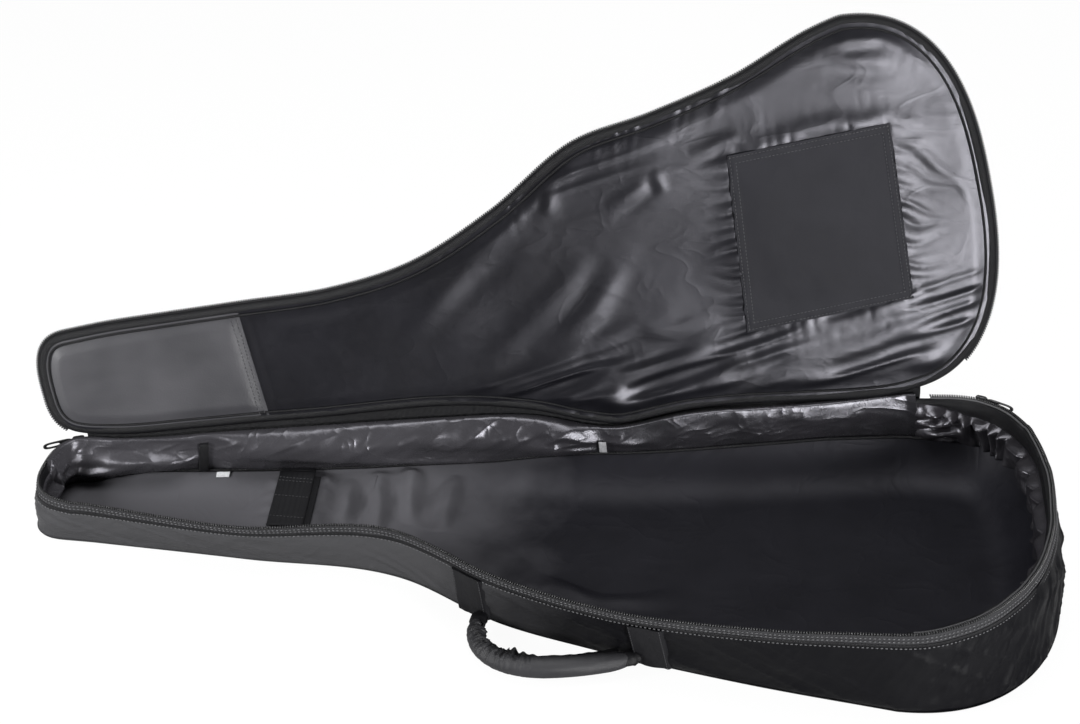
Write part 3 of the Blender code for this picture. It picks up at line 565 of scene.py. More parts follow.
class Finish:
    """One material: its shader's fixed settings, and one way to add any other node."""

    def __init__(self, name, **fixed):
        self.material = bpy.data.materials.new(name)
        self.material.use_nodes = True
        self.tree = self.material.node_tree
        self.shader = self.tree.nodes["Principled BSDF"]
        for key, value in fixed.items():
            socket = self.shader.inputs[key.replace("_", " ")]
            socket.default_value = (*value, 1.0) if isinstance(value, tuple) and len(value) == 3 else value

    def node(self, kind, settings=None, sockets=None, out=0):
        made = self.tree.nodes.new(kind)
        for key, value in (settings or {}).items():
            setattr(made, key, value)
        for key, value in (sockets or {}).items():
            if isinstance(value, Value):
                self.tree.links.new(value.socket, made.inputs[key])
            else:
                made.inputs[key].default_value = value
        return Value(self, made.outputs[out])

    def ramp(self, value, stops):
        made = self.tree.nodes.new("ShaderNodeValToRGB")
        ramp = made.color_ramp
        while len(ramp.elements) < len(stops):
            ramp.elements.new(0.5)
        for element, (place, level) in zip(ramp.elements, stops):
            element.position = place
            element.color = (level, level, level, 1)
        self.tree.links.new(value.socket, made.inputs[0])
        return Value(self, made.outputs[0])

    def noise(self, coords, scale, detail=3.0, rough=0.55, twist=0.0):
        return self.node("ShaderNodeTexNoise", None, {"Vector": coords, "Scale": scale, "Detail": detail,
                                                      "Roughness": rough, "Distortion": twist})

    def stretched(self, coords, scale, turn=0.0):
        return self.node("ShaderNodeMapping", None,
                         {"Vector": coords, "Rotation": (0, 0, turn), "Scale": scale})

    def own(self):
        return self.node("ShaderNodeTexCoord", out=3)

    def on_cloth(self):
        return self.node("ShaderNodeUVMap", {"uv_map": "cloth"})

    def painted_light_to_neck(self, coords, start, end, speckle):
        """0 on the tail side of start and 1 on the head side of end, with a ragged change between. It places
        painted light on the neck.
        """
        x = self.node("ShaderNodeSeparateXYZ", None, {0: coords})
        t = (x * -1.0 + start) / (start - end) + (speckle - 0.5) * 0.9
        return self.ramp(t, ((0.0, 0.0), (1.0, 1.0)))

    def blend(self, share, a, b):
        first, second = (c if isinstance(c, Value) else (*c, 1.0) for c in (a, b))
        return self.node("ShaderNodeMix", {"data_type": "RGBA"}, {0: share, 6: first, 7: second}, out=2)

    def weave(self, coords, pitch, across=1.0):
        """Plain weave: the product of two sine waves, one along each thread direction."""
        apart = self.node("ShaderNodeSeparateXYZ", None, {0: coords})
        other = Value(self, apart.socket.node.outputs[1])
        u = (apart * (2 * math.pi / pitch)).with_math("SINE", apart * (2 * math.pi / pitch))
        turn = 2 * math.pi / (pitch * across)
        v = (other * turn).with_math("SINE", other * turn)
        return u * v

    def use(self, colour=None, rough=None, bumps=()):
        """Link what varies to the shader. Bumps are pairs of a height and its size in metres."""
        for key, value in (("Base Color", colour), ("Roughness", rough)):
            if value is not None:
                self.tree.links.new(value.socket, self.shader.inputs[key])
        normal = None
        for height, size in bumps:
            sockets = {"Height": height, "Distance": size, "Strength": 1.0}
            if normal is not None:
                sockets["Normal"] = normal
            normal = self.node("ShaderNodeBump", None, sockets)
        if normal is not None:
            self.tree.links.new(normal.socket, self.shader.inputs["Normal"])
        return self.material


# %% [markdown]
# ### Satin lining
# The lining is a thin, tightly woven nylon with a calendered face. It is dark with a purple cast and shines
# where it faces the light. Fine creases go in as a bump, since the mesh holds only the larger folds.

# %% Satin


def satin(name, dark, pale, rough, crinkle=0.00018, gloss=0.55, neck=None):
    """Colour between two tones by slow noise, paler in the neck if asked, and creases over a fine weave. The
    paler neck is painted light.
    """
    f = Finish(name, Specular_IOR_Level=gloss, Specular_Tint=(0.92, 0.91, 1.0))
    here = f.own()
    slow = f.noise(here, 14.0, 3.0)
    fine = f.noise(here, 90.0, 4.0, 0.6, 0.8)
    signed = f.noise(f.stretched(here, (1.0, 1.0, 1.6)), 16.0, 2.0, 0.5, 0.8) * 2 - 1
    creases = 1.0 - signed.with_math("ABSOLUTE", signed)
    threads = f.weave(f.on_cloth(), 0.0011)
    colour = f.blend(f.ramp(slow, ((0.3, 0.0), (0.7, 1.0))), dark, pale)
    # Painted light: a paler colour at the neck stands for light falling on the neck, on the same cloth.
    if neck:
        colour = f.blend(f.painted_light_to_neck(here, 0.02, -0.16, slow), colour, neck)
    return f.use(colour, fine * 0.10 + (rough - 0.05),
                 [(creases ** 6.0, crinkle * 3), (fine, crinkle * 0.35), (threads, 0.00002)])


LID_SATIN = satin("lid_satin", (0.003, 0.003, 0.004), (0.006, 0.006, 0.008), 0.32, 0.00004, 0.43)
# The floor satin's pale neck colour is painted light from the left; the floor is the same cloth all along.
FLOOR_SATIN = satin("floor_satin", (0.005, 0.005, 0.007), (0.009, 0.009, 0.012), 0.50, 0.00008, 0.20,
                    neck=(0.085, 0.084, 0.092))
# The wall lining's paler neck colour is painted light; the lining beyond the neck is the same cloth in shade.
WALL_SATIN = satin("wall_satin", (0.008, 0.008, 0.009), (0.018, 0.017, 0.020), 0.27, 0.00022, 0.80,
                   neck=(0.034, 0.033, 0.037))
PLEAT_SATIN = satin("pleat_satin", (0.012, 0.011, 0.013), (0.024, 0.023, 0.026), 0.22, 0.00010, 0.95)

# %% [markdown]
# ### Outer cloth, trims and hard parts
# The outside is a coated nylon with a visible weave; its paler neck is painted light from the left. Bindings,
# tapes and webbing are ribbed, so their lines follow the piece's own map. The coil is smooth plastic, and the
# sliders are painted zinc that is bright where the paint has worn off.

# %% Outer cloth


def outer_nylon(name, dark, pale, rough=0.55, pitch=0.0014, gloss=0.20, neck=None):
    """Weave by two sine waves, colour by slow noise, and a paler neck if asked, which is painted light."""
    f = Finish(name, Specular_IOR_Level=gloss)
    here, map_uv = f.own(), f.on_cloth()
    slow = f.noise(here, 7.0, 4.0)
    fine = f.noise(here, 160.0, 2.0)
    threads = f.weave(map_uv, pitch)
    mix = f.ramp(slow, ((0.32, 0.0), (0.68, 1.0))) * 0.75 + fine * 0.25
    colour = f.blend(mix, dark, pale)
    # Painted light: the paler neck colour stands for light from the left on the same dark nylon.
    if neck:
        colour = f.blend(f.painted_light_to_neck(here, 0.05, -0.07, slow), colour, neck)
    return f.use(colour, fine * 0.16 + (rough - 0.08),
                 [(f.noise(here, 30.0, 4.0, 0.6, 0.6), 0.0007), (threads, 0.00007)])


# The outer nylon's pale neck colour is painted light from the left.
OUTER = outer_nylon("outer_nylon", (0.003, 0.003, 0.004), (0.007, 0.007, 0.008), 0.40, gloss=0.07,
                    neck=(0.052, 0.052, 0.055))
GRIP_CLOTH = outer_nylon("grip_cloth", (0.014, 0.014, 0.016), (0.036, 0.036, 0.039), 0.44, gloss=0.30)
BACKING = outer_nylon("lid_outer_nylon", (0.024, 0.024, 0.026), (0.042, 0.042, 0.044), 0.55)
PATCH = outer_nylon("matte_patch_cloth", (0.009, 0.009, 0.012), (0.018, 0.018, 0.023), 0.56, 0.0012, 0.18)


def vinyl():
    """Grained sheet: rounded cells by Voronoi distance, with slow shading in colour and gloss."""
    f = Finish("grained_vinyl", Specular_IOR_Level=0.45)
    here = f.own()
    cells = f.node("ShaderNodeTexVoronoi", {"feature": "SMOOTH_F1"}, {"Vector": here, "Scale": 620.0})
    slow = f.noise(here, 9.0, 3.0)
    colour = f.blend(f.ramp(slow, ((0.3, 0.0), (0.7, 1.0))), (0.028, 0.028, 0.032), (0.054, 0.053, 0.059))
    return f.use(colour, slow * 0.12 + 0.46, [(f.noise(here, 26.0, 3.0), 0.0008), (cells, 0.00012)])


def ribbed(name, dark, pale, pitch, rough=0.62, along=True):
    """Ribs by a sine wave across the map, broken up by noise, as in grosgrain tape and webbing."""
    f = Finish(name, Specular_IOR_Level=0.20)
    apart = f.node("ShaderNodeSeparateXYZ", None, {0: f.on_cloth()})
    u, v = apart, Value(f, apart.socket.node.outputs[1])
    lead, cross = (u, v) if along else (v, u)
    ribs = (lead * (2 * math.pi / pitch)).with_math("SINE", lead * (2 * math.pi / pitch))
    yarn = (cross * (2 * math.pi / (pitch * 0.55))).with_math("SINE", cross * (2 * math.pi / (pitch * 0.55)))
    slow = f.noise(f.own(), 40.0, 3.0)
    mix = ribs * 0.22 + slow * 0.6 + 0.15
    return f.use(f.blend(mix, dark, pale), slow * 0.15 + (rough - 0.07),
                 [(ribs + yarn * ribs * 0.5, 0.00012)])


VINYL = vinyl()
BINDING = ribbed("black_binding", (0.004, 0.004, 0.005), (0.010, 0.010, 0.011), 0.0013, 0.44)
TAPE = ribbed("zipper_tape", (0.020, 0.020, 0.022), (0.048, 0.048, 0.051), 0.0010, 0.60)
PIPING = ribbed("pale_piping", (0.060, 0.060, 0.063), (0.120, 0.120, 0.125), 0.0010, 0.50)
WEBBING = ribbed("dark_webbing", (0.004, 0.004, 0.005), (0.012, 0.012, 0.014), 0.0021, 0.60)
FACING = outer_nylon("plain_facing", (0.004, 0.004, 0.005), (0.008, 0.008, 0.009), 0.50)


def plain(name, dark, pale, rough, scale=60.0, metal=0.0, dent=0.00004):
    """Two tones by noise, for small hard parts and threads."""
    f = Finish(name, Metallic=metal)
    speck = f.noise(f.own(), scale, 4.0, 0.6)
    share = f.ramp(speck, ((0.35, 0.0), (0.65, 1.0)))
    return f.use(f.blend(share, dark, pale), speck * 0.14 + (rough - 0.07), [(speck, dent)])


COIL = plain("coil_nylon", (0.006, 0.006, 0.007), (0.018, 0.018, 0.019), 0.30, 300.0)
RIM_THREAD = plain("pale_thread", (0.045, 0.045, 0.048), (0.120, 0.120, 0.126), 0.55, 900.0)
THREAD = plain("sewing_thread", (0.026, 0.026, 0.029), (0.066, 0.066, 0.071), 0.55, 900.0)
ZINC = plain("painted_zinc", (0.018, 0.018, 0.019), (0.060, 0.060, 0.062), 0.34, 180.0, 0.6)
FOAM = plain("grey_foam", (0.16, 0.16, 0.17), (0.22, 0.22, 0.23), 0.9, 400.0, 0.0, 0.0004)
LABEL = plain("pale_woven_label", (0.55, 0.56, 0.58), (0.75, 0.76, 0.78), 0.7, 500.0)
GREY_LABEL = plain("grey_woven_label", (0.16, 0.16, 0.17), (0.26, 0.26, 0.27), 0.7, 500.0)


def dress(obj, finish, body, nodes=()):
    """Give a piece its finish, the nodes that it stands for and the body that it rides on."""
    obj.data.materials.clear()
    obj.data.materials.append(finish)
    if nodes:
        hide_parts(*nodes)
    if body:
        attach(obj, body)
    print(obj.name, len(obj.data.polygons), "faces")
    return obj


print("finishes ready")

# %% [markdown]
# ## Outside of the base
# The gusset is one strip of nylon sewn round the back panel. It stands, but it sags in soft
# dents, and near the tail it is crumpled. Its height off the plain wall is a sum of slow noise and
# creases that fades out at the zipper and at the bottom seam.

# %% Gusset
WALL_V = np.linspace(0, 1, 26) ** 0.9


def wall_points(v, push, low=FOOT, high=RIM, out=OUT):
    """Grid of the wall: straight from foot to rim by v, pushed outward by push(v, k)."""
    line = low[None] * (1 - v[:, None, None]) + high[None] * v[:, None, None]
    return line + out[None] * push[..., None]


def wall_map(v, drop=0.087):
    """The cloth's own map in metres: the way round, and the height up the wall."""
    return np.stack(np.broadcast_arrays(STEPS[None], v[:, None] * drop), -1)


def gusset():
    """Outer cloth of both sides and both ends, in one closed strip."""
    s, v = np.meshgrid(STEPS, WALL_V * 0.09)
    x = FOOT[None, :, 0]
    near = (OUT[None, :, 1] < 0.2)
    hold = smoothstep(WALL_V / 0.12)[:, None] * smoothstep((1 - WALL_V) / 0.20)[:, None]
    tail = smoothstep((x - 0.36) / 0.10)
    dents = 0.0020 * layered(s / 0.075, v / 0.05, 3)
    dents = dents + 0.0026 * tail * np.abs(noise(s / 0.022, v / 0.040, 5)) ** 1.4
    slant, across = slanted(s, v, 0.9, 0.060, 0.013)
    creases = 0.0018 * (crease(slant, across, 11) - 0.4) * (0.45 + 1.3 * tail)
    fold = 0.0022 * crease(s / 0.05 + 3 * v / 0.09, v / 0.2, 17, 3.0) * np.where(near, 1, 0.5)
    push = hold * (0.0012 * np.sin(math.pi * WALL_V)[:, None] + dents + creases + fold)
    curl = -0.0022 * (1 - smoothstep(WALL_V / 0.06))[:, None]
    low = FOOT + np.array([0, 0, 0.0016])
    fall = 1 - TAPE_FALL / np.linalg.norm(RIM - FOOT, axis=1)
    high = FOOT + (RIM - FOOT) * fall[:, None]
    front = wall_points(WALL_V, push + curl, low, high)
    back = wall_points(np.array([0.0, 1.0]), np.full((2, 1), -CLOTH), low, high)
    made = cloth("gusset_cloth", front, back, wall_map(WALL_V), True)
    return dress(made, OUTER, "base", ("near_wall", "far_wall"))


def across_plate(loop, rows):
    """Rows of points from the near side to the far side of a loop that has the same places on both."""
    half = len(loop) // 2 + 1
    near = loop[:half]
    far = np.concatenate([loop[:1], loop[:half - 2:-1]])
    t = np.linspace(0, 1, rows)[:, None, None]
    return near[None] * (1 - t) + far[None] * t


COARSE = (26, 150, 60)


def back_panel():
    """Flat back with a sloped edge: its lower face is set in 1.6 mm more than its upper face."""
    loop = outline(lambda x: through(STATION_X, FLOOR_NEAR, x), lambda x: through(STATION_X, FLOOR_FAR, x),
                   HEAD_X, TAIL_X, COARSE)
    lower, upper = inset(loop, 0.0022), inset(loop, 0.0006)
    upper[:, 2] = CLOTH
    front = across_plate(lower, 24)
    back = across_plate(upper, 2)
    return dress(cloth("back_cloth", front, back, front[..., :2]), OUTER, "base", ("back_panel",))


def back_padding():
    """Foam behind the floor lining: a plain plate with a soft edge."""
    loop = outline(lambda x: through(STATION_X, FLOOR_NEAR, x) - 0.010,
                   lambda x: through(STATION_X, FLOOR_FAR, x) - 0.010, HEAD_X + 0.010, TAIL_X - 0.010, COARSE)
    front = across_plate(loop, 12)
    front[..., 2] = 0.0064 - 0.002 * (1 - np.sin(np.linspace(0, math.pi, 12)) ** 0.3)[:, None]
    back = across_plate(loop, 2)
    back[..., 2] = CLOTH + 0.0003
    made = dress(cloth("back_padding", front, back, front[..., :2]), FOAM, "base", ("back_foam",))
    return made


gusset()
back_panel()
back_padding()

# %% [markdown]
# ## Inside of the base
# The lining is cut larger than the shell, so it wrinkles. On the long sides it has slack upright folds
# and creases. Round the tail it is gathered into tight pleats under a plain band. The floor lies
# almost flat, with long soft folds where it is sewn in.

# %% Lining of the walls
INNER = -0.0030


def lining_levels(low_fall, high_fall):
    """Foot and top lines of a lining between two distances below the rim. None is the floor's seam."""
    length = np.linalg.norm(RIM - FOOT, axis=1)
    foot = FOOT + (RIM - FOOT) * ((SEAM_UP - 0.0010) / RIM[:, 2])[:, None] if low_fall is None else (
        RIM + (FOOT - RIM) * (low_fall / length)[:, None])
    return foot, RIM + (FOOT - RIM) * (high_fall / length)[:, None]


def side_lining():
    """Slack lining of the long sides and the head: sweeping folds, a few upright ones and a full middle."""
    v = np.linspace(0, 1, 60)
    hinged = np.where((np.arange(len(STEPS)) > TAIL_END) & (FOOT[:, 0] < 0.45), 1.0, 0.0)
    low, high = lining_levels(None, TAPE_FALL * (1 - hinged) - 0.0035 * hinged)
    s, w = np.meshgrid(STEPS, v * 0.060)
    x = FOOT[None, :, 0]
    hold = (np.sin(math.pi * np.clip(v, 0, 1)) ** 0.5)[:, None]
    upright = crease(s / 0.040 + 0.4 * noise(s / 0.05, w / 0.05, 8), w / 0.11, 21, 2.0)
    a, b = slanted(s, w, 0.10, 0.150, 0.017)
    level = (1 - noise(a + 0.5 * noise(s / 0.12, w / 0.05, 22), b * 0.7, 23) ** 2) ** 2.5
    fine = crease(s / 0.045 + w / 0.03, w / 0.050, 29, 1.2)
    soft = layered(s / 0.060, w / 0.05, 27, 2)
    calm = (1 - 0.8 * smoothstep((x - 0.05) / 0.06)) * (1 - smoothstep((x - 0.372) / 0.03))
    calm = calm * (1 - 0.85 * bump_at(x, -0.379, 0.024)) * (1 - 0.85 * bump_at(x, 0.060, 0.024))
    push = INNER - 0.0040 - hold * (0.0026 + calm * (0.0030 * upright * bump_at(x, 0.0, 0.10) + 0.0125 * level
                                                     + 0.0036 * fine) + 0.0014 * soft)
    front = wall_points(v, push, low, high)
    back = wall_points(np.array([0.0, 1.0]), np.full((2, 1), INNER), low, high)
    keep = np.flatnonzero((FOOT[:, 0] < 0.405))
    near = keep[keep < 700]
    far = keep[keep >= 700]
    order = np.concatenate([far, near[1:]])
    map_uv = wall_map(v)
    made = cloth("side_lining", front[:, order], back[:, order], map_uv[:, order])
    return dress(made, WALL_SATIN, "base", ("near_lining", "far_lining"))


TAIL = np.flatnonzero(FOOT[:, 0] > 0.395)
BAND_SHARE = np.where(np.arange(len(STEPS)) > TAIL_END, smoothstep((FOOT[:, 0] - 0.405) / 0.075), 1.0)


def tail_pleats():
    """Gathered lining: a wave whose pitch wanders, deeper in the middle, under a level top seam."""
    v = np.linspace(0, 1, 44)
    low, high = lining_levels(None, 0.004 + (TAPE_FALL + 0.004) * BAND_SHARE)
    s, w = np.meshgrid(STEPS[TAIL], v * 0.05)
    hold = smoothstep((v + 0.10) / 0.26)[:, None] * smoothstep((1 - v) / 0.20)[:, None]
    way = s / 0.030 + 1.1 * noise(s / 0.060, w / 0.05, 31) + 0.22 * noise(s / 0.020, w / 0.030, 32) + w / 0.07
    pleat = np.abs(np.sin(math.pi * way)) ** 1.1
    small = np.abs(noise(s / 0.011, w / 0.030, 38)) ** 1.5
    begun = smoothstep((FOOT[TAIL, 0] - 0.393) / 0.035)[None]
    depths = 0.0115 * (0.75 + 0.25 * noise(s / 0.05, w / 0.04, 35))
    soft = 0.0022 * layered(s / 0.045, w / 0.025, 37, 2)
    push = INNER - 0.0042 - hold * begun * (0.0080 + depths * pleat + soft + 0.0016 * small)
    front = wall_points(v, push, low[TAIL], high[TAIL], OUT[TAIL])
    back = wall_points(np.array([0.0, 1.0]), np.full((2, 1), INNER), low[TAIL], high[TAIL], OUT[TAIL])
    made = cloth("tail_pleats", front, back, wall_map(v)[:, TAIL])
    return dress(made, PLEAT_SATIN, "base", ("tail_lining",))


def tail_band():
    """Plain facing above the pleats, slightly rounded."""
    v = np.linspace(0, 1, 12)
    low, high = lining_levels(0.0070 + (TAPE_FALL + 0.0045) * BAND_SHARE, 0.0030)
    s, w = np.meshgrid(STEPS[TAIL], v * 0.022)
    push = INNER - 0.0046 - 0.0022 * np.sin(math.pi * v)[:, None] - 0.0008 * layered(s / 0.03, w / 0.02, 41)
    front = wall_points(v, push, low[TAIL], high[TAIL], OUT[TAIL])
    back = wall_points(np.array([0.0, 1.0]), np.full((2, 1), INNER - 0.0008), low[TAIL], high[TAIL],
                       OUT[TAIL])
    return dress(cloth("tail_band", front, back, wall_map(v)[:, TAIL]), FACING, "base", ("tail_facing",))


side_lining()
tail_pleats()
tail_band()

# %% Floor


CURL_WIDTH = 0.060


def curl(distance, up):
    """Height of the floor's edge over the floor: it sweeps up to the seam as (1 - d / 60 mm) to the 2.4."""
    return (up - FLOOR_TOP) * np.clip(1 - distance / CURL_WIDTH, 0, 1) ** 2.4


# Each fold: its height, its half width and the places that its ridge runs through.
FLOOR_FOLDS = (
    (0.0100, 0.009, ((-0.219, 0.080), (-0.205, -0.007))),
    (0.0130, 0.011, ((-0.186, 0.095), (-0.175, -0.013))),
    (0.0140, 0.012, ((-0.151, 0.110), (-0.146, 0.010))),
    (0.0110, 0.012, ((-0.108, 0.105), (-0.105, 0.007))),
    (0.0030, 0.012, ((0.016, -0.067), (0.082, -0.110))),
    (0.0032, 0.016, ((-0.071, -0.006), (0.035, -0.079))),
    (0.0050, 0.008, ((-0.246, 0.085), (-0.234, 0.008))),
    (0.0044, 0.012, ((-0.055, -0.040), (0.003, -0.075), (0.077, -0.090), (0.167, -0.078))),
)


def floor_folds(x, y):
    """Height of the floor cloth: faint waves and measured folds, never 0.2 mm below the flat floor."""
    neck = bump_at(x, -0.13, 0.12)
    waves = 0.0009 * layered(x / 0.14, y / 0.12, 53, 2) + 0.0016 * neck * layered(x / 0.030, y / 0.060, 55, 2)
    return np.maximum(waves + laid_folds(x, y, FLOOR_FOLDS), -0.0002)


def floor_edge(counts):
    """The floor's seam all round, for the same places on both sides."""
    low, high = foot_loop(counts), rim_loop(counts)
    up = seam_height(low[:, 0], np.arange(len(low)) < sum(counts) - 2)
    return seam_line(low, high, up, CLOTH + 0.0040 + 0.0030)


def floor_cloth():
    """Floor lining: flat, and swept up to its seam along the far side and the tail."""
    loop = floor_edge(FLOOR_COUNTS)
    half = len(loop) // 2 + 1
    flat = loop.copy()
    flat[:, 2] = 0
    rows = 150
    share = np.linspace(0, 1, rows)
    t = 0.5 * share + 0.25 * (1 - np.cos(math.pi * share))
    near, far = flat[:half], np.concatenate([flat[:1], flat[:half - 2:-1]])
    front = near[None] * (1 - t[:, None, None]) + far[None] * t[:, None, None]
    edge = edge_distance(front, flat)
    x = front[..., 0]
    up = seam_height(x, True) * (1 - t[:, None]) + seam_height(x, False) * t[:, None]
    folds = smoothstep(edge / 0.012) * floor_folds(x, front[..., 1])
    front[..., 2] = FLOOR_TOP - 0.0010 + curl(edge, up) + folds
    back = front[np.linspace(0, rows - 1, 38).round().astype(int)]
    back[..., 2] -= 0.0026
    return dress(cloth("floor_cloth", front, back, front[..., :2]), FLOOR_SATIN, "base", ("floor_lining",))


def floor_cord():
    """Piping on the floor's seam: a thin round cord."""
    loop = floor_edge(FINE)
    _, (line,) = evenly([loop], 700)
    line[:, 2] += 0.0006
    side = outward(line)
    section = (8, lambda t, k: (0.0018 * np.cos(t), 0.0018 * np.sin(t)))
    made = cord("floor_cord", line - side * 0.0012, side, section, True)
    return dress(made, BINDING, "base", ("floor_piping",))


floor_cloth()
floor_cord()

# %% [markdown]
# ## Zipper on the rim
# A coil zipper is a plastic spiral sewn along the edge of a tape. From outside one sees short bars
# close together. Here each turn is one bar, repeated every 2.6 mm. Two rows of small stitches hold the
# tape, and a third holds the folded edge of the outer cloth under it.

# %% Zipper of the base
ALL_FAR = len(STEPS) - 1
FAR_TAIL = int(np.argmin(np.abs(FOOT[TAIL_END:, 0] - 0.42))) + TAIL_END
FAR_HEAD = int(np.argmin(np.abs(FOOT[FAR_TAIL:, 0] + 0.500))) + FAR_TAIL
ZIP = np.concatenate([np.arange(FAR_HEAD, ALL_FAR), np.arange(0, FAR_TAIL + 1)])


def rim_wave():
    """The rim line, wavy by up to 1.6 mm where the free near side is slack."""
    wave = 0.0014 * noise(STEPS / 0.060, 0.3, 61) + 0.0007 * noise(STEPS / 0.021, 0.7, 62)
    loose = smoothstep((RIM[:, 0] + 0.35) / 0.1) * np.where(OUT[:, 1] < 0.4, 1.0, 0.3)
    line = RIM + OUT * (wave * loose)[:, None]
    line[:, 2] += 0.5 * wave * loose
    line[-1] = line[0]
    return line


EDGE = rim_wave()


def below_rim(fall, out=0.0):
    """Line at a distance below the rim down the wall, pushed outward."""
    length = np.linalg.norm(EDGE - FOOT, axis=1)
    return EDGE + (FOOT - EDGE) * (fall / length)[:, None] + OUT * out


def rim_tape():
    """Tape from below the coil to the folded cloth edge, with two faint ridges where it is sewn."""
    v = np.linspace(0, 1, 9)
    falls = 0.0028 + v * (TAPE_FALL + 0.0012 - 0.0028)
    rise = 0.0002 + 0.0006 * bump_at(v, 0.35, 0.12) + 0.0006 * bump_at(v, 0.80, 0.10)
    front = np.stack([below_rim(f, r) for f, r in zip(falls, rise)])
    back = np.stack([below_rim(falls[0], -0.0016), below_rim(falls[-1], -0.0016)])
    map_uv = np.stack(np.broadcast_arrays(STEPS[None], falls[:, None]), -1)
    made = cloth("rim_tape", front[:, ZIP], back[:, ZIP], map_uv[:, ZIP])
    return dress(made, TAPE, "base", ("base_zipper_tape",))


def along_rim(fall, out, pitch, index=ZIP):
    """A sewn row along the rim at a fall below it: places, ahead, down the wall, out of the wall."""
    line = below_rim(fall, out)[index]
    spots, share = resampled(line, pitch)
    at = share * (len(line) - 1)
    lift = np.stack([np.interp(at, np.arange(len(line)), OUT[index][:, i]) for i in range(3)], 1)
    ahead = ahead_of(spots)
    lift = unit(lift - (lift * ahead).sum(1)[:, None] * ahead)
    return spots, ahead, np.cross(lift, ahead), lift


def rim_coil():
    """Bars of the coil, each laid across the edge."""
    spots, ahead, across, lift = along_rim(0.0014, -0.0006, 0.0026)
    lean_in = unit(across + 0.25 * ahead)
    made = sewn("rim_coil", [(spots, lean_in, ahead, lift)], bead(0.0040, 0.0019, 0.0034))
    return dress(made, COIL, "base", ("base_zipper_teeth",))


def rim_stitches():
    """Three rows of stitches along the tape and the folded cloth."""
    lines = ((0.0060, 0.0010), (0.0100, 0.0010), (0.0178, 0.0016))
    rows = [along_rim(fall, out, 0.0044) for fall, out in lines]
    return dress(sewn("rim_stitches", rows, bead(0.0028, 0.0013, 0.0012)), RIM_THREAD, "base")


def rim_fold():
    """Folded edge of the outer cloth just under the tape: a soft flat bead."""
    line = below_rim(TAPE_FALL + 0.0022, 0.0006)
    made = cord("rim_fold", line, unit(FOOT - EDGE),
                (10, lambda t, k: (0.0022 * np.cos(t), 0.0010 * np.sin(t))), True)
    return dress(made, BINDING, "base")


def rim_piping():
    """Thin paler piping inside the rim round the tail, between the tape and the lining."""
    index = ZIP[FOOT[ZIP, 0] > 0.40]
    made = cord("rim_piping", below_rim(0.0022, -0.0040)[index], unit(FOOT - EDGE)[index],
                (8, lambda t, k: (0.0011 * np.cos(t), 0.0011 * np.sin(t))))
    return dress(made, PIPING, "base")


def rim_inner_tape():
    """Inner side of the rim: the tape's turned-in edge down to the lining."""
    v = np.linspace(0, 1, 7)
    falls = 0.0030 + v[:, None] * (0.0015 + 0.0120 * BAND_SHARE)
    front = np.stack([below_rim(f, -0.0030 - 0.0030 * smoothstep(t / 0.8)) for f, t in zip(falls, v)])
    back = np.stack([below_rim(falls[0], -0.0020), below_rim(falls[-1], -0.0030)])
    map_uv = np.stack(np.broadcast_arrays(STEPS[None], falls), -1)
    made = cloth("rim_inner_tape", front[:, ZIP], back[:, ZIP], map_uv[:, ZIP])
    return dress(made, BINDING, "base")


rim_tape()
rim_coil()
rim_stitches()
rim_fold()
rim_piping()
rim_inner_tape()

# %% [markdown]
# ## Lid
# The lid is two cloths with foam between, held by a rounded binding all round. Its lining is loose. It
# has long slanted folds in the middle, short puckers along the binding, and gathers round the square
# patch, which was sewn on with the lining pulled in.

# %% Lid lining
PATCH_CORNERS = np.array([[0.237, -0.093], [0.410, -0.089], [0.401, 0.102], [0.220, 0.099]])
PATCH_WIDE, PATCH_HIGH = 0.175, 0.191
SEAM = np.array([[-0.306, -0.060], [-0.302, 0.090]])


def patch_place(x, y):
    """Where a point is in the patch: 0 to 1 along each side, by the inverse of a straight mapping."""
    origin = PATCH_CORNERS.mean(0)
    u_axis = (PATCH_CORNERS[1] + PATCH_CORNERS[2] - PATCH_CORNERS[0] - PATCH_CORNERS[3]) / 2
    v_axis = (PATCH_CORNERS[3] + PATCH_CORNERS[2] - PATCH_CORNERS[0] - PATCH_CORNERS[1]) / 2
    inverse = np.linalg.inv(np.stack([u_axis, v_axis], 1))
    d = np.stack([x - origin[0], y - origin[1]], -1) @ inverse.T
    return d[..., 0], d[..., 1]


# Folds as on the floor: height, half width, ridge.
LONG_FOLDS = (
    (0.0050, 0.010, ((-0.148, 0.034), (-0.086, -0.016), (-0.051, -0.040), (0.002, -0.078), (0.026, -0.099))),
    (0.0055, 0.012, ((-0.074, 0.076), (-0.001, 0.036), (0.040, 0.006), (0.074, -0.030))),
    (0.0045, 0.010, ((-0.068, 0.101), (-0.008, 0.091), (0.041, 0.075), (0.107, 0.071), (0.198, 0.087))),
    (0.0045, 0.010, ((-0.014, 0.075), (0.066, 0.037), (0.108, -0.004))),
    (0.0036, 0.008, ((-0.066, -0.050), (-0.011, -0.080), (0.038, -0.110), (0.085, -0.130), (0.162, -0.136))),
    (0.0030, 0.008, ((-0.296, -0.035), (-0.209, -0.032), (-0.131, -0.034))),
    (0.0030, 0.009, ((-0.258, -0.012), (-0.220, 0.013), (-0.209, 0.056))),
    (0.0040, 0.009, ((0.247, -0.098), (0.339, -0.100), (0.412, -0.099), (0.446, -0.083))),
    (0.0036, 0.009, ((0.230, 0.167), (0.302, 0.164), (0.397, 0.161))),
    (0.0042, 0.009, ((0.212, 0.161), (0.273, 0.146), (0.351, 0.141), (0.431, 0.118))),
    (0.0034, 0.008, ((0.159, 0.146), (0.227, 0.134), (0.295, 0.125))),
    (0.0030, 0.007, ((0.358, -0.190), (0.419, -0.180), (0.442, -0.165))),
    (0.0028, 0.007, ((0.354, -0.172), (0.432, -0.152))),
)
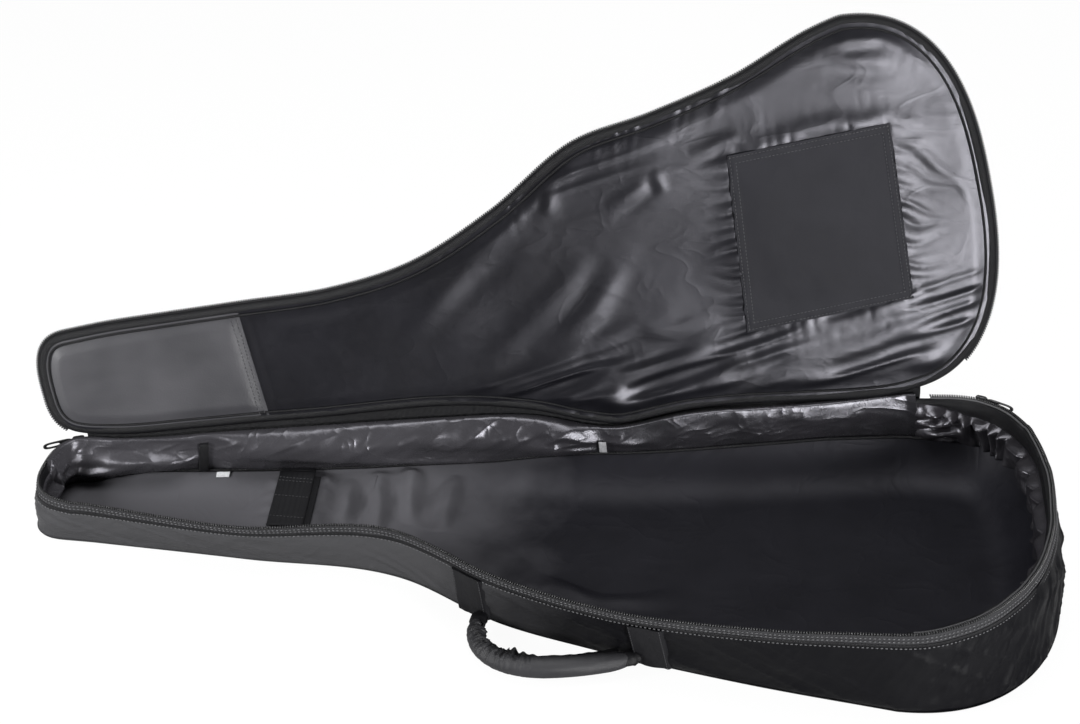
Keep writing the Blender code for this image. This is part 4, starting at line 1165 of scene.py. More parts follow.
SHORT_FOLDS = (
    (0.0022, 0.005, ((0.050, -0.101), (0.042, -0.076))),
    (0.0024, 0.006, ((0.100, -0.063), (0.127, -0.075), (0.161, -0.092))),
    (0.0022, 0.005, ((0.160, -0.098), (0.168, -0.072))),
    (0.0024, 0.006, ((0.201, -0.108), (0.259, -0.104))),
    (0.0024, 0.006, ((0.418, -0.079), (0.483, 0.009))),
    (0.0022, 0.005, ((0.418, -0.041), (0.466, -0.002))),
    (0.0024, 0.006, ((0.186, 0.126), (0.222, 0.124))),
    (0.0024, 0.006, ((0.032, 0.137), (0.081, 0.136))),
    (0.0024, 0.006, ((0.092, 0.148), (0.158, 0.150))),
)


def lid_folds(x, y, edge):
    """Height of the lining off the foam: waves, measured folds, edge puckers and gathers at the patch."""
    swell = 0.0013 * layered(x / 0.13, y / 0.10, 71, 2)
    a, b = slanted(x, y, -0.85, 0.160, 0.024)
    faint = 0.0004 * noise(a, b, 73) * bump_at(x, 0.03, 0.15)
    low = smoothstep((y - 0.075) / 0.04) * smoothstep((x + 0.14) / 0.08) * (1 + 0.9 * bump_at(x, -0.01, 0.10))
    c, d = slanted(x, y, -0.10, 0.110, 0.016)
    level = 0.0024 * (1 - noise(c, d, 77) ** 2) ** 3 * (low + np.exp(-edge / 0.03) * bump_at(x, 0.08, 0.12))
    way = (x + 0.35 * y) / 0.014 + np.arctan2(y, x - 0.1) * 4
    where = np.where(y < 0, 0.35 + 0.9 * bump_at(x, 0.10, 0.20), 0.25 + 0.75 * bump_at(x, 0.02, 0.14))
    pucker = 0.0011 * np.abs(noise(way, y / 0.08, 79)) ** 1.2 * np.exp(-edge / 0.012) * where
    u, v = patch_place(x, y)
    gap_u, gap_v = (np.abs(u) - 0.5) * PATCH_WIDE, (np.abs(v) - 0.5) * PATCH_HIGH
    out_u = np.clip(gap_u, 0, 1)
    right = u > 0
    beside = (np.exp(-(out_u / np.where(right, 0.026, 0.018)) ** 1.5) * smoothstep((0.54 - np.abs(v)) / 0.10)
              * (gap_u > -0.01))
    above = np.exp(-np.clip(gap_v, 0, 1) / 0.014) * smoothstep((0.56 - np.abs(u)) / 0.10) * (gap_v > -0.01)
    count = np.where(right, 10.0, 14.0)
    spread = v * count - np.where(right, 0.53 * out_u / PATCH_HIGH * count, 0)
    uneven = 0.35 + 0.95 * np.abs(noise(v * 6, gap_u * 12, 85))
    way_up = spread + 1.0 * noise(v * 6, gap_u * 18, 83)
    gathers = 0.0017 * np.abs(np.sin(math.pi * way_up)) * beside * uneven
    ripples = 0.0010 * np.abs(noise(u * 14, gap_v * 30, 87)) * above
    inside = smoothstep(-np.maximum(gap_u, gap_v) / 0.012)
    calm = 0.30 + 0.14 * smoothstep((x - 0.10) / 0.12)
    lines = calm * laid_folds(x, y, LONG_FOLDS) + 0.45 * laid_folds(x, y, SHORT_FOLDS)
    loose = np.maximum(0.0016 + swell + faint + level + lines, 0.0)
    seam = SEAM[0, 0] + (SEAM[1, 0] - SEAM[0, 0]) * (y - SEAM[0, 1]) / (SEAM[1, 1] - SEAM[0, 1])
    free = smoothstep((x - seam - 0.002) / 0.012)
    return (loose * (1 - inside) * smoothstep(edge / 0.02) + pucker + gathers + ripples) * free


def lid_panel(name, margin, rise, thick, rows, counts, shape=None):
    """A cloth of the lid: its face at rise plus shape off the lid's plane, its back at rise plus thick."""
    loop = inset(lid_outline(counts), margin)
    plan = across_plate(loop, rows)
    height = np.full(plan.shape[:2], rise)
    if shape is not None:
        height = height + shape(plan[..., 0], plan[..., 1], edge_distance(plan, loop))
    front = opened(plan, height)
    flat = across_plate(loop, rows // 3)
    back = opened(flat, np.full(flat.shape[:2], rise + thick))
    return cloth(name, front, back, plan[..., :2])


def bend_lid(obj):
    """Bake a piece of the lid's transform into its points."""
    bpy.context.view_layer.update()
    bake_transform(obj)
    return obj


bend_lid(dress(lid_panel("lid_lining_cloth", 0.0095, -0.0048, 0.0012, 136, (30, 330, 120),
                         lambda x, y, e: -lid_folds(x, y, e)), LID_SATIN, None, ("lid_lining",)))


def padding_crown(x, y, edge):
    """Foam is thinner where it is sewn in: it rises over the last 30 mm."""
    return 0.0008 * smoothstep(edge / 0.030)


bend_lid(dress(lid_panel("lid_padding", 0.0115, 0.0002, -0.0018, 90, (30, 220, 80), padding_crown),
                         FOAM, None, ("front_foam",)))


def outer_swell(x, y, edge):
    """Outside of the lid: padded, with slow dents and a few creases, flat at the binding."""
    a, b = slanted(x, y, 0.5, 0.15, 0.03)
    return smoothstep(edge / 0.035) * (0.0046 + 0.0018 * layered(x / 0.12, y / 0.10, 91)
                                       + 0.0012 * crease(a, b, 93, 2.0))


bend_lid(dress(lid_panel("lid_outer_cloth", 0.0095, 0.0028, -0.0004, 90, (30, 220, 80), outer_swell),
               BACKING, None, ("front_panel",)))

# %% Lid binding and zipper


def lid_line(margin, rise, count=900):
    """A closed line round the lid at a margin from its edge, with the lid's sideways directions."""
    loop = inset(lid_outline(FINE), margin)
    _, (line,) = evenly([loop], count)
    side = outward(line)
    wave = 0.0008 * noise(np.linspace(0, 46, count + 1), 0.2, 95)
    wave[-1] = wave[0]
    put_out = opened(line, rise + wave)
    aside = opened(line + side * 0.01, rise + wave) - put_out
    return put_out, unit(aside)


def binding_section(t, k):
    """Rounded flat section, 10 mm wide and 9 mm thick, with a groove where the tape leaves it."""
    groove = 1 - 0.10 * bump_at(np.cos(t), 0.72, 0.10)
    a = 0.0056 * np.sign(np.cos(t)) * np.abs(np.cos(t)) ** 0.85 * groove
    return a, 0.0052 * np.sign(np.sin(t)) * np.abs(np.sin(t)) ** 0.85 * groove


def lid_binding():
    """Padded binding round the lid."""
    line, aside = lid_line(0.0088, 0.0)
    return bend_lid(dress(cord("lid_binding_band", line, aside, (20, binding_section), True), BINDING, None,
                          ("lid_binding",)))


def lid_free_part(line):
    """Indices of the free edge: all but the stretch along the hinge."""
    loop = inset(lid_outline(FINE), 0.0)
    _, (plan,) = evenly([loop], len(line) - 1)
    far = plan[:, 1] > hinge_y(plan[:, 0]) - 0.030
    hinged = far & (plan[:, 0] < 0.445) & (plan[:, 0] > -0.520)
    free = np.flatnonzero(~hinged[:-1])
    start = int(free[np.argmax(np.diff(np.concatenate([[free[-1] - len(line) + 1], free])))])
    return np.roll(free, -int(np.flatnonzero(free == start)[0]))


def lid_zip():
    """Tape and coil on the free edge of the lid."""
    inner, aside = lid_line(0.0048, 0.0)
    free = lid_free_part(inner)
    outer, _ = lid_line(0.0012, 0.0)
    up = unit(np.cross(ahead_of(inner, True), aside))
    front = np.stack([inner - up * 0.0006, outer - up * 0.0006])[:, free]
    back = np.stack([inner + up * 0.0006, outer + up * 0.0006])[:, free]
    steps = np.linspace(0, 2.6, len(inner))[free]
    map_uv = np.stack(np.broadcast_arrays(steps[None], np.array([0.0, 0.004])[:, None]), -1)
    made = cloth("lid_tape", front, back, map_uv)
    bend_lid(dress(made, TAPE, None, ("lid_zipper_tape",)))
    spots, ahead, across, lift = row_of(outer[free], up[free], 0.0026)
    lean_in = unit(across + 0.25 * ahead)
    coil = sewn("lid_coil", [(spots, lean_in, ahead, lift)], bead(0.0040, 0.0019, 0.0034))
    bend_lid(dress(coil, COIL, None, ("lid_zipper_teeth",)))


def lid_piping():
    """Thin dark cord where the lining meets the binding."""
    line, aside = lid_line(0.0150, -0.0062)
    made = cord("lid_piping", line, aside, (8, lambda t, k: (0.0013 * np.cos(t), 0.0014 * np.sin(t))), True)
    return bend_lid(dress(made, BINDING, None))


lid_binding()
lid_zip()
lid_piping()

# %% [markdown]
# ### Patch and head pad
# The patch guards the lining from the bridge. It is matte and lies flat, with a turned hem. The head
# pad is grained sheet over thin foam, sewn down along a slanted seam.

# %% Patch and head pad


def quad_patch(corners, rows, columns):
    """Straight mapping of a square onto four corners in plan."""
    u = np.linspace(0, 1, columns)[None, :, None]
    v = np.linspace(0, 1, rows)[:, None, None]
    a, b, c, d = corners
    return (a * (1 - u) + b * u) * (1 - v) + (d * (1 - u) + c * u) * v


def bridge_patch():
    """Square of cloth with a hem: thicker over the outer 8 mm, with a wavy edge where it is gathered."""
    plan = quad_patch(PATCH_CORNERS, 100, 100)
    u, v = np.meshgrid(np.linspace(0, 1, 100), np.linspace(0, 1, 100))
    rim = np.minimum(np.minimum(u, 1 - u), np.minimum(v, 1 - v)) * 0.18
    hem = 0.0010 * (1 - smoothstep((rim - 0.0075) / 0.002))
    slack = 0.0013 * layered(plan[..., 0] / 0.06, plan[..., 1] / 0.05, 101) * smoothstep(rim / 0.03)
    curl = 0.0008 * noise(u * 22, v * 22, 103) * (1 - smoothstep(rim / 0.012))
    wobble = 0.0012 * noise(v * 24, 0.4, 105) * (1 - smoothstep(rim / 0.006))
    plan[..., 0] += wobble
    front = opened(plan, -(0.0078 + hem + slack + curl + 0.0022 * smoothstep(rim / 0.05)))
    flat = quad_patch(PATCH_CORNERS, 2, 100)
    back = opened(flat, np.full(flat.shape[:2], -0.0062))
    made = cloth("bridge_patch_cloth", front, back, plan[..., :2])
    return dress(made, PATCH, "lid", ("bridge_patch",))


def patch_stitches():
    """Stitches close to the patch's edge and again inside its hem."""
    runs = []
    centre = PATCH_CORNERS.mean(0)
    for shrink in (0.972, 0.905):
        corners = centre + (PATCH_CORNERS - centre) * shrink
        for k in range(4):
            t = np.linspace(0, 1, 60)[:, None]
            plan = corners[k] * (1 - t) + corners[(k + 1) % 4] * t
            line = opened(plan, np.full(60, -0.0094 if shrink > 0.95 else -0.0086))
            up = unit(opened(plan, np.full(60, -0.02)) - line)
            runs.append(row_of(line, up, 0.0040))
    made = sewn("patch_stitches", runs, bead(0.0028, 0.0007, 0.0006))
    return dress(made, THREAD, "lid")


def head_pad():
    """Grained pad that fills the head end up to the seam, crowned over its foam."""
    loop = inset(lid_outline((30, 120, 40)), 0.0118)
    half = len(loop) // 2 + 1
    plan = across_plate(loop, 60)
    t = np.linspace(0, 1, 60)
    seam_x = SEAM[0, 0] + (SEAM[1, 0] - SEAM[0, 0]) * t
    cut = int(np.searchsorted(loop[:half, 0], SEAM[:, 0].min() - 0.003))
    plan = plan[:, :cut + 1].copy()
    plan[:, -1, 0] = seam_x
    edge = edge_distance(plan, loop)
    to_seam = seam_x[:, None] - plan[..., 0]
    crown = 0.0044 * smoothstep(np.minimum(edge, to_seam) / 0.016) - 0.0012 * bump_at(to_seam, 0.006, 0.002)
    soft = 0.0010 * layered(plan[..., 0] / 0.06, plan[..., 1] / 0.04, 107)
    front = opened(plan, -(0.0052 + crown + soft * smoothstep(edge / 0.02)))
    behind = plan[np.linspace(0, 59, 20).round().astype(int)]
    back = opened(behind, np.full(behind.shape[:2], -0.0036))
    made = cloth("head_pad", front, back, plan[..., :2])
    return bend_lid(dress(made, VINYL, None, ("headstock_pad",)))


def seam_stitches():
    """Two rows of stitches along the pad's seam."""
    runs = []
    for off in (-0.0030, -0.0085):
        t = np.linspace(0, 1, 40)[:, None]
        y = -0.036 + 0.104 * t
        share = (y - SEAM[0, 1]) / (SEAM[1, 1] - SEAM[0, 1])
        plan = np.concatenate([SEAM[0, 0] + (SEAM[1, 0] - SEAM[0, 0]) * share + off, y], 1)
        line = opened(plan, np.full(40, -0.0078 if off > -0.005 else -0.0088))
        runs.append(row_of(line, unit(opened(plan, np.full(40, -0.02)) - line), 0.0044))
    made = sewn("seam_stitches", runs, bead(0.0030, 0.0008, 0.0007))
    return bend_lid(dress(made, THREAD, None))


bridge_patch()
patch_stitches()
head_pad()
seam_stitches()

# %% [markdown]
# ## Hinge cloth
# Along the far side a strip of cloth joins the wall's rim to the lid.

# %% Hinge cloth


def hinge_cloth():
    """Strip from the far wall's top, over the rim, to the binding at the lid's lower edge."""
    x = np.linspace(-0.500, 0.392, 420)
    half = sum(FINE) - 2
    loop = lid_outline(FINE)
    far = loop[half - 1:][::-1]
    y = np.interp(x, far[:, 0], far[:, 1])
    plan = np.stack([x, y - 0.0040], 1)
    top = opened(plan, np.full(len(x), 0.0030))
    wall = below_rim(0.0, 0.0012)[TAIL_END:][::-1]
    spots = np.stack([np.interp(x, wall[:, 0], wall[:, i]) for i in range(3)], 1)
    low = below_rim(0.016, 0.0014)[TAIL_END:][::-1]
    low = np.stack([np.interp(x, low[:, 0], low[:, i]) for i in range(3)], 1)
    v = np.linspace(0, 1, 14)[:, None, None]
    sway = np.array([0.0, 0.0016, 0.0])
    front = np.where(v < 0.4, low + (spots - low) * v / 0.4, spots + (top - spots) * (v - 0.4) / 0.6)
    middle = np.sin(math.pi * v)
    front = front + sway * (middle * noise(x / 0.03, 0.5, 111)[None, :, None] + middle)
    back = front[[0, -1]] - np.array([0, 0.0014, 0])
    map_uv = np.stack(np.broadcast_arrays(x[None], np.linspace(0, 0.04, 14)[:, None]), -1)
    made = cloth("hinge_cloth", front, back, map_uv)
    return bend_lid(dress(made, BINDING, None, ("hinge_band", "hinge_roll")))


hinge_cloth()

# %% [markdown]
# ## Neck rest and strap
# A low soft pad carries the neck, and two straps close over it. The pad is the same satin as the floor, so
# it shows only as a swelling. The upper strap opens like a flap, so it is a piece of its own.

# %% Neck rest and strap
REST_X0, REST_X1 = -0.337, -0.187
REST_NEAR, REST_ACROSS, REST_RISE = -0.047, 0.128, 0.0158
STRAP_X = -0.266


def side_of(loop, x, far):
    """y of a loop's near or far side at x."""
    half = len(loop) // 2 + 1
    part = np.concatenate([loop[:1], loop[:half - 2:-1]]) if far else loop[:half]
    return np.interp(x, part[:, 0], part[:, 1])


def rest_height(x, y):
    """Height of the pad over the floor: a sine along the neck, and flat with soft shoulders across it."""
    along = np.clip((x - REST_X0) / (REST_X1 - REST_X0), 0, 1)
    across = np.clip((y - REST_NEAR) / REST_ACROSS, 0, 1)
    return REST_RISE * np.sin(math.pi * along) ** 2 * (1 - np.abs(2 * across - 1) ** 8) ** 0.5


def neck_rest():
    """Low pad across the neck, with a soft dent under the strap and small puckers beside it."""
    loop = inset(foot_loop(), CLOTH + 0.0040 + 0.0035 + 0.0045)
    x = np.linspace(REST_X0, REST_X1, 90)
    t = np.linspace(0, 1, 70)[:, None]
    near, far = side_of(loop, x, False), side_of(loop, x, True)
    grid_y = near[None] * (1 - t) + far[None] * t
    grid_x = np.broadcast_to(x[None], grid_y.shape)
    strap = bump_at(grid_x, STRAP_X, 0.021)
    beside = bump_at(np.abs(grid_x - STRAP_X), 0.027, 0.008)
    pucker = 0.0018 * noise(grid_y / 0.011, grid_x / 0.03, 121) * beside
    wave = 0.0008 * layered(grid_x / 0.03, grid_y / 0.04, 123)
    sides = smoothstep(np.minimum(t, 1 - t) / 0.08)
    folds = floor_folds(grid_x, grid_y) * (1 - bump_at(grid_x, STRAP_X, 0.030))
    rise = curl(far[None] - grid_y + 0.005, seam_height(grid_x, False))
    crown = rest_height(grid_x, grid_y) * (1 - 0.10 * strap)
    top = (rise ** 3 + crown ** 3) ** (1 / 3) + (pucker + wave + folds) * sides
    front = np.stack([grid_x, grid_y, FLOOR_TOP - 0.0014 + top], -1)
    back = front[[0, -1]].copy()
    back[..., 2] = FLOOR_TOP - 0.0012
    made = dress(cloth("neck_rest", front, back, front[..., :2]), FLOOR_SATIN, "base", ("neck_rest_pad",))
    return made


def strap_line(y, lift):
    """Middle of a strap: it slants slightly towards the head and lies on the pad, at a height over it."""
    x = -0.262 - 0.011 * (y + 0.047) / 0.1195
    return np.stack([x, y, 0.0258 + lift + 0 * y], -1)


def webbing(name, line, across, width, thick):
    """Flat strap along a line: a rounded flat section whose edges are slightly thicker than its middle."""
    shape = lambda t, k: (width / 2 * rounded(np.cos(t), 0.35), thick / 2 * rounded(np.sin(t), 0.6))
    return cord(name, line, np.broadcast_to(across, line.shape).astype(float), (28, shape))


def neck_straps():
    """Lower strap, upper strap that opens as a flap, and the upper one's sewn root."""
    across = np.array([1.0, 0, 0])
    low = strap_line(np.linspace(-0.0437, 0.0608, 50), 0.0016) + np.array([0.0055, 0, 0])
    dress(webbing("neck_strap_lower", low, across, 0.041, 0.0022), WEBBING, "base", ("neck_strap_under",))
    high = strap_line(np.linspace(-0.0347, 0.0665, 50), 0.0042)
    upper = webbing("neck_strap_upper", high, across, 0.039, 0.0024)
    dress(upper, WEBBING, "strap_flap", ("neck_strap_over",))
    root = strap_line(np.linspace(0.0669, 0.0725, 12), 0.0042)
    dress(webbing("neck_strap_sewn_end", root, across, 0.039, 0.0024), WEBBING, "base", ("neck_strap_root",))
    rows = []
    for y in (0.052, 0.046, 0.018, -0.020):
        x = np.linspace(-0.017, 0.017, 20)
        here = strap_line(np.full(20, y), 0.0056)
        here[:, 0] += x
        rows.append(row_of(here, np.tile([0, 0, 1.0], (20, 1)), 0.0036))
    stitches = sewn("strap_stitches", rows, bead(0.0026, 0.0008, 0.0006))
    dress(stitches, THREAD, "strap_flap")


neck_rest()
neck_straps()

# %% [markdown]
# ## Bands and handle
# Two bands run up the near wall. Between their feet hangs a padded sleeve, sewn shut along its inner
# side. The seam is pulled tight, so the cloth beside it gathers, most of all where the sleeve bends.

# %% Bands on the near wall


def near_wall_grid(x0, x1, columns, v, push):
    """Grid of the near wall between two places, with the finished rim as its top."""
    part = slice(0, TAIL_END)
    ends = np.interp([x0, x1], FOOT[part, 0], STEPS[part])
    s = np.linspace(ends[0], ends[1], columns)
    low = at_steps(s, FOOT)
    high = at_steps(s, EDGE)
    out = unit(at_steps(s, OUT))
    grid = low[None] * (1 - v[:, None, None]) + high[None] * v[:, None, None] + out[None] * push[..., None]
    return grid, out, s


def wall_band(name, x0, x1, node, seed):
    """Band of webbing cloth up the wall: rounded at its edges, slightly slack, with turned hems."""
    v = np.linspace(0.05, 0.80, 34)
    c = np.linspace(-1, 1, 40)[None]
    hem = 0.0007 * bump_at(np.abs(c), 0.84, 0.10)
    slack = 0.0012 * layered(c * 1.2, v[:, None] * 2.5, seed) * (1 - c ** 4)
    shape = 0.0034 * (1 - np.abs(c) ** 10) + hem + slack
    front, _, s = near_wall_grid(x0, x1, 40, v, 0.0006 + shape + 0 * v[:, None])
    back, _, _ = near_wall_grid(x0, x1, 40, np.array([v[0], v[-1]]), np.full((2, 40), -0.0004))
    map_uv = np.stack(np.broadcast_arrays(v[:, None] * 0.085, s[None]), -1)
    return dress(cloth(name, front, back, map_uv), WEBBING, "base", (node,))


def band_stitches():
    """Stitches up both edges of each band."""
    rows = []
    v = np.linspace(0.08, 0.78, 30)
    for x0, x1 in ((-0.0630, -0.0290), (0.1225, 0.1585)):
        grid, out, _ = near_wall_grid(x0, x1, 40, v, np.full((30, 40), 0.0046))
        for c in (3, 36):
            rows.append(row_of(grid[:, c], np.broadcast_to(out[c], (30, 3)), 0.0040))
    dress(sewn("band_stitches", rows, bead(0.0028, 0.0008, 0.0007)), THREAD, "base")


wall_band("handle_band_near_head", -0.0640, -0.0285, "handle_band_left", 131)
wall_band("handle_band_near_tail", 0.1220, 0.1590, "handle_band_right", 133)
band_stitches()

# %% Handle
GRIP_FROM, GRIP_TO = np.array([-0.0374, -0.1344, 0.0130]), np.array([0.1260, -0.1838, 0.0180])


def grip_line(count=241):
    """Middle of the handle: a straight chord pushed away from the bag by a skewed sine."""
    t = np.linspace(0, 1, count)
    chord = GRIP_TO - GRIP_FROM
    away = unit(np.array([chord[1], -chord[0], 0.0]))
    reach = 0.060 * np.sin(math.pi * t ** 0.66) ** 0.85
    line, _ = resampled(GRIP_FROM + chord * t[:, None] + away * reach[:, None], 0.0010)
    return line


GRIP = grip_line()
GRIP_STEP = 0.001
SLEEVE_RADIUS = 0.0108


def gather(k, total):
    """How gathered the sleeve is along its length: most at the bend near the head, least at the other end."""
    share = k / total
    return 0.12 + 1.10 * smoothstep((0.60 - share) / 0.28)


def grip_sleeve():
    """Padded sleeve: a round section, gathered towards its inner seam and drawn in at both ends."""
    line = GRIP[13:-13]
    total = len(line) - 1
    inward = unit(np.cross(np.array([0, 0, 1.0]), ahead_of(line)))

    def section(t, k):
        ends = 1 - 0.34 * np.abs(2 * k / total - 1) ** 8
        pull = gather(k, total) * np.clip(0.55 + 0.45 * np.cos(t - 0.5), 0, 1) ** 1.2
        ruck = np.abs(noise(k / 4.2, t * 0.7, 141)) ** 0.8 + 0.5 * np.abs(noise(k / 2.2, t * 1.1, 143))
        drawn = 0.46 * np.clip(pull, 0, 1.1) * ruck
        radius = SLEEVE_RADIUS * ends * (1 - drawn + 0.03 * noise(k / 14.0, t * 1.2, 145))
        pinch = 1 + 0.10 * np.clip(np.cos(t), 0, 1) ** 6
        return radius * np.cos(t) * pinch, radius * np.sin(t) * 0.94

    made = cord("handle_sleeve_cloth", line, inward, (40, section))
    made = dress(made, GRIP_CLOTH, "handle", ("handle_sleeve",))
    return made


def grip_seam():
    """Sewn edge on the inner side: a thin strip that ruffles up and down where the sleeve is gathered."""
    line = GRIP[17:-17]
    total = len(line) - 1
    k = np.arange(total + 1)
    ahead = ahead_of(line)
    inward = unit(np.cross(np.array([0, 0, 1.0]), ahead))
    v = np.linspace(0, 1, 9)
    strong = gather(k, total)
    straight = 0.42 + 0.58 * smoothstep((k / total - 0.08) / 0.26)
    wave = noise(k / 6.5, 0.5, 151) + 0.25 * noise(k / 3.2, 0.5, 153)
    reach = (0.0086 + 0.0022 * strong * noise(k / 6.0, 0.5, 155)) * straight
    up = 0.0062 * strong * wave
    front = (line[None] + inward[None] * (0.0092 * straight + v[:, None] * reach[None])[..., None]
             + np.array([0, 0, 1.0]) * (v[:, None] ** 1.5 * up[None] + 0.0009)[..., None])
    back = front[[0, -1]] - np.array([0, 0, 0.0018])
    map_uv = np.stack(np.broadcast_arrays(k[None] * GRIP_STEP, v[:, None] * 0.009), -1)
    dress(cloth("handle_seam_ruffle", front, back, map_uv), FACING, "handle", ("handle_seam",))
    path = line + inward * (0.0112 * straight)[:, None] + np.array([0, 0, 0.0020])
    runs = [row_of(path, np.tile([0, 0, 1.0], (len(path), 1)), 0.0036)]
    dress(sewn("handle_stitches", runs, bead(0.0026, 0.0008, 0.0008)), THREAD, "handle")


def grip_ends():
    """Both ends of the handle: strips drawn together like a knot, from the sleeve to the bands' feet."""
    for name, line, node in (("handle_end_near_head", GRIP[1:20], "handle_tab_left"),
                             ("handle_end_near_tail", GRIP[-20:-1][::-1], "handle_tab_right")):
        side = unit(np.cross(np.array([0, 0, 1.0]), ahead_of(line)))

        def section(t, k):
            swell = 1 + 0.25 * np.sin(math.pi * k / 18) + 0.10 * noise(k / 3.0, t * 2, 161)
            return 0.0070 * swell * np.cos(t), 0.0058 * swell * np.sin(t)

        dress(cord(name, line, side, (18, section)), FACING, "handle", (node,))


grip_sleeve()
grip_seam()
grip_ends()

# %% [markdown]
# ## Outer pocket
# Behind the neck sits a shallow pocket with its own zipper. Only a slight bulge of it shows in the photo.

# %% Pocket


def pocket_sides(x, room):
    """Near and far edge of the pocket in plan at x."""
    return room - through(LID_X, LID_NEAR, x), hinge_y(x) - room


def pocket():
    """Shallow boxed pocket: its height rises over the outer 12 mm and has soft dents."""
    x = np.linspace(-0.455, -0.235, 130)
    near, far = pocket_sides(x, 0.027)
    t = np.linspace(0, 1, 60)
    y = near[None] * (1 - t[:, None]) + far[None] * t[:, None]
    plan = np.stack(np.broadcast_arrays(x[None], y), -1)
    edge = np.minimum(np.minimum(x - x[0], x[-1] - x)[None], np.minimum(y - near[None], far[None] - y))
    dents = 0.0010 * layered(plan[..., 0] / 0.05, y / 0.04, 171)
    rise = 0.0070 + 0.0094 * smoothstep(edge / 0.011) ** 0.7 + dents
    rise = rise + 0.0010 * bump_at(edge, 0.012, 0.002)
    front = opened(plan, np.where(edge <= 0, 0.0052, rise))
    back = opened(plan[[0, -1]], np.full((2, 130), 0.0044))
    dress(cloth("neck_pocket_cloth", front, back, plan), BACKING, "lid", ("neck_pocket",))


def pocket_zip_line(x0, x1, rise, count=80):
    """Straight line down the middle of the pocket at a height off the lid."""
    x = np.linspace(x0, x1, count)
    near, far = -np.interp(x, STATION_X, (0.068, 0.056, 0.056, 0.092, 0.142, 0.169, 0.207)), hinge_y(x)
    ends = (near + far)[[0, -1]] / 2
    plan = np.stack([x, np.interp(x, x[[0, -1]], ends)], -1)
    return opened(plan, np.full(count, rise)), unit(opened(plan, np.full(count, rise + 0.01))
                                                    - opened(plan, np.full(count, rise)))


def pocket_zip():
    """Tape and coil of the pocket, with stitches down both edges of the tape."""
    line, up = pocket_zip_line(-0.435, -0.255, 0.0174)
    across = np.cross(ahead_of(line), up)
    made = webbing("neck_pocket_tape", line, across[0], 0.024, 0.0014)
    dress(made, TAPE, "lid", ("neck_pocket_zipper_tape",))
    top, up = pocket_zip_line(-0.431, -0.259, 0.0190)
    spots, ahead, sideways, lift = row_of(top, up, 0.0026)
    coil = sewn("neck_pocket_coil", [(spots, sideways, ahead, lift)], bead(0.0052, 0.0018, 0.0018))
    dress(coil, COIL, "lid", ("neck_pocket_zipper_teeth",))
    rows = []
    for off in (-0.0095, 0.0095):
        rows.append(row_of(line + across * off + up * 0.0007, up, 0.0042))
    dress(sewn("neck_pocket_stitches", rows, bead(0.0030, 0.0008, 0.0007)), THREAD, "lid")


pocket()
pocket_zip()

# %% [markdown]
# ### Sliders and pulls
# A slider is a small cast box with a bridge on top, and the pull is a flat tab that swings on the bridge.

# %% Sliders


def frame_points(points, seat, ahead, up):
    """Points of a small part put at a seat: x goes ahead, z goes up."""
    ahead, up = unit(np.array(ahead, float)), unit(np.array(up, float))
    x, y, z = (points[..., k:k + 1] for k in range(3))
    return np.array(seat) + x * ahead + y * np.cross(up, ahead) + z * up


def slider_body(name, seat, ahead, up):
    """Rounded box 13 x 8.5 x 4.2 mm, wider in front, by a superellipsoid; its bridge is a small arch."""
    a = np.linspace(-math.pi / 2, math.pi / 2, 15)[:, None]
    b = np.linspace(0, 2 * math.pi, 33)[None]
    x = 0.0065 * rounded(np.cos(a), 0.35) * rounded(np.cos(b), 0.45)
    y = 0.00425 * rounded(np.cos(a), 0.35) * rounded(np.sin(b), 0.45) * (1 + 0.16 * x / 0.0065 - 0.16)
    z = 0.0021 + 0.0021 * rounded(np.sin(a), 0.5) + 0 * b
    groove = 1 - 0.10 * bump_at(z, 0.0021, 0.0005)
    box_points = np.stack([x * groove, y * groove, z], -1).reshape(-1, 3)
    t = np.linspace(0, math.pi, 15)
    arch = np.stack([0.0035 + 0.0042 * -np.cos(t), 0 * t, 0.0016 + 0.0036 * np.sin(t)], 1)
    ring = np.linspace(0, 2 * math.pi, 11)
    radial = unit(arch - np.array([0.0035, 0, 0.0016]))
    tube = (arch[:, None] + radial[:, None] * (0.0007 * np.cos(ring))[None, :, None]
            + np.array([0, 1.0, 0]) * (0.0016 * np.sin(ring))[None, :, None]).reshape(-1, 3)
    faces = grid_faces(15, 33) + grid_faces(15, 11, 15 * 33)
    faces.append((np.arange(10) + 15 * 33).tolist())
    faces.append((np.arange(10) + 15 * 33 + 14 * 11).tolist())
    return put(name, frame_points(np.concatenate([box_points, tube]), seat, ahead, up), faces, weld=0.000002)


def pull_tab(name, seat, ahead, up):
    """Flat tab 32 x 7.5 mm with an oval hole: outer and inner ovals joined round by a bevelled section."""
    turn = np.linspace(0, 2 * math.pi, 65)
    c, s = np.cos(turn), np.sin(turn)
    outer = np.stack([0.0143 + 0.0160 * rounded(c, 0.45), 0.00375 * rounded(s, 0.75)], 1)
    inner = np.stack([0.0195 + 0.0072 * rounded(c, 0.6), 0.0017 * rounded(s, 0.8)], 1)
    rings = []
    for share, height in ((0.0, -0.5), (0.0, 0.5), (0.12, 0.8), (0.88, 0.8), (1.0, 0.5), (1.0, -0.5),
                          (0.88, -0.8), (0.12, -0.8), (0.0, -0.5)):
        plan = outer * (1 - share) + inner * share
        rings.append(np.column_stack([plan, np.full(len(turn), height * 0.001)]))
    points = np.stack(rings).reshape(-1, 3) + np.array([0.0087, 0, 0.0019])
    return put(name, frame_points(points, seat, ahead, up), grid_faces(9, 65), weld=0.000002)


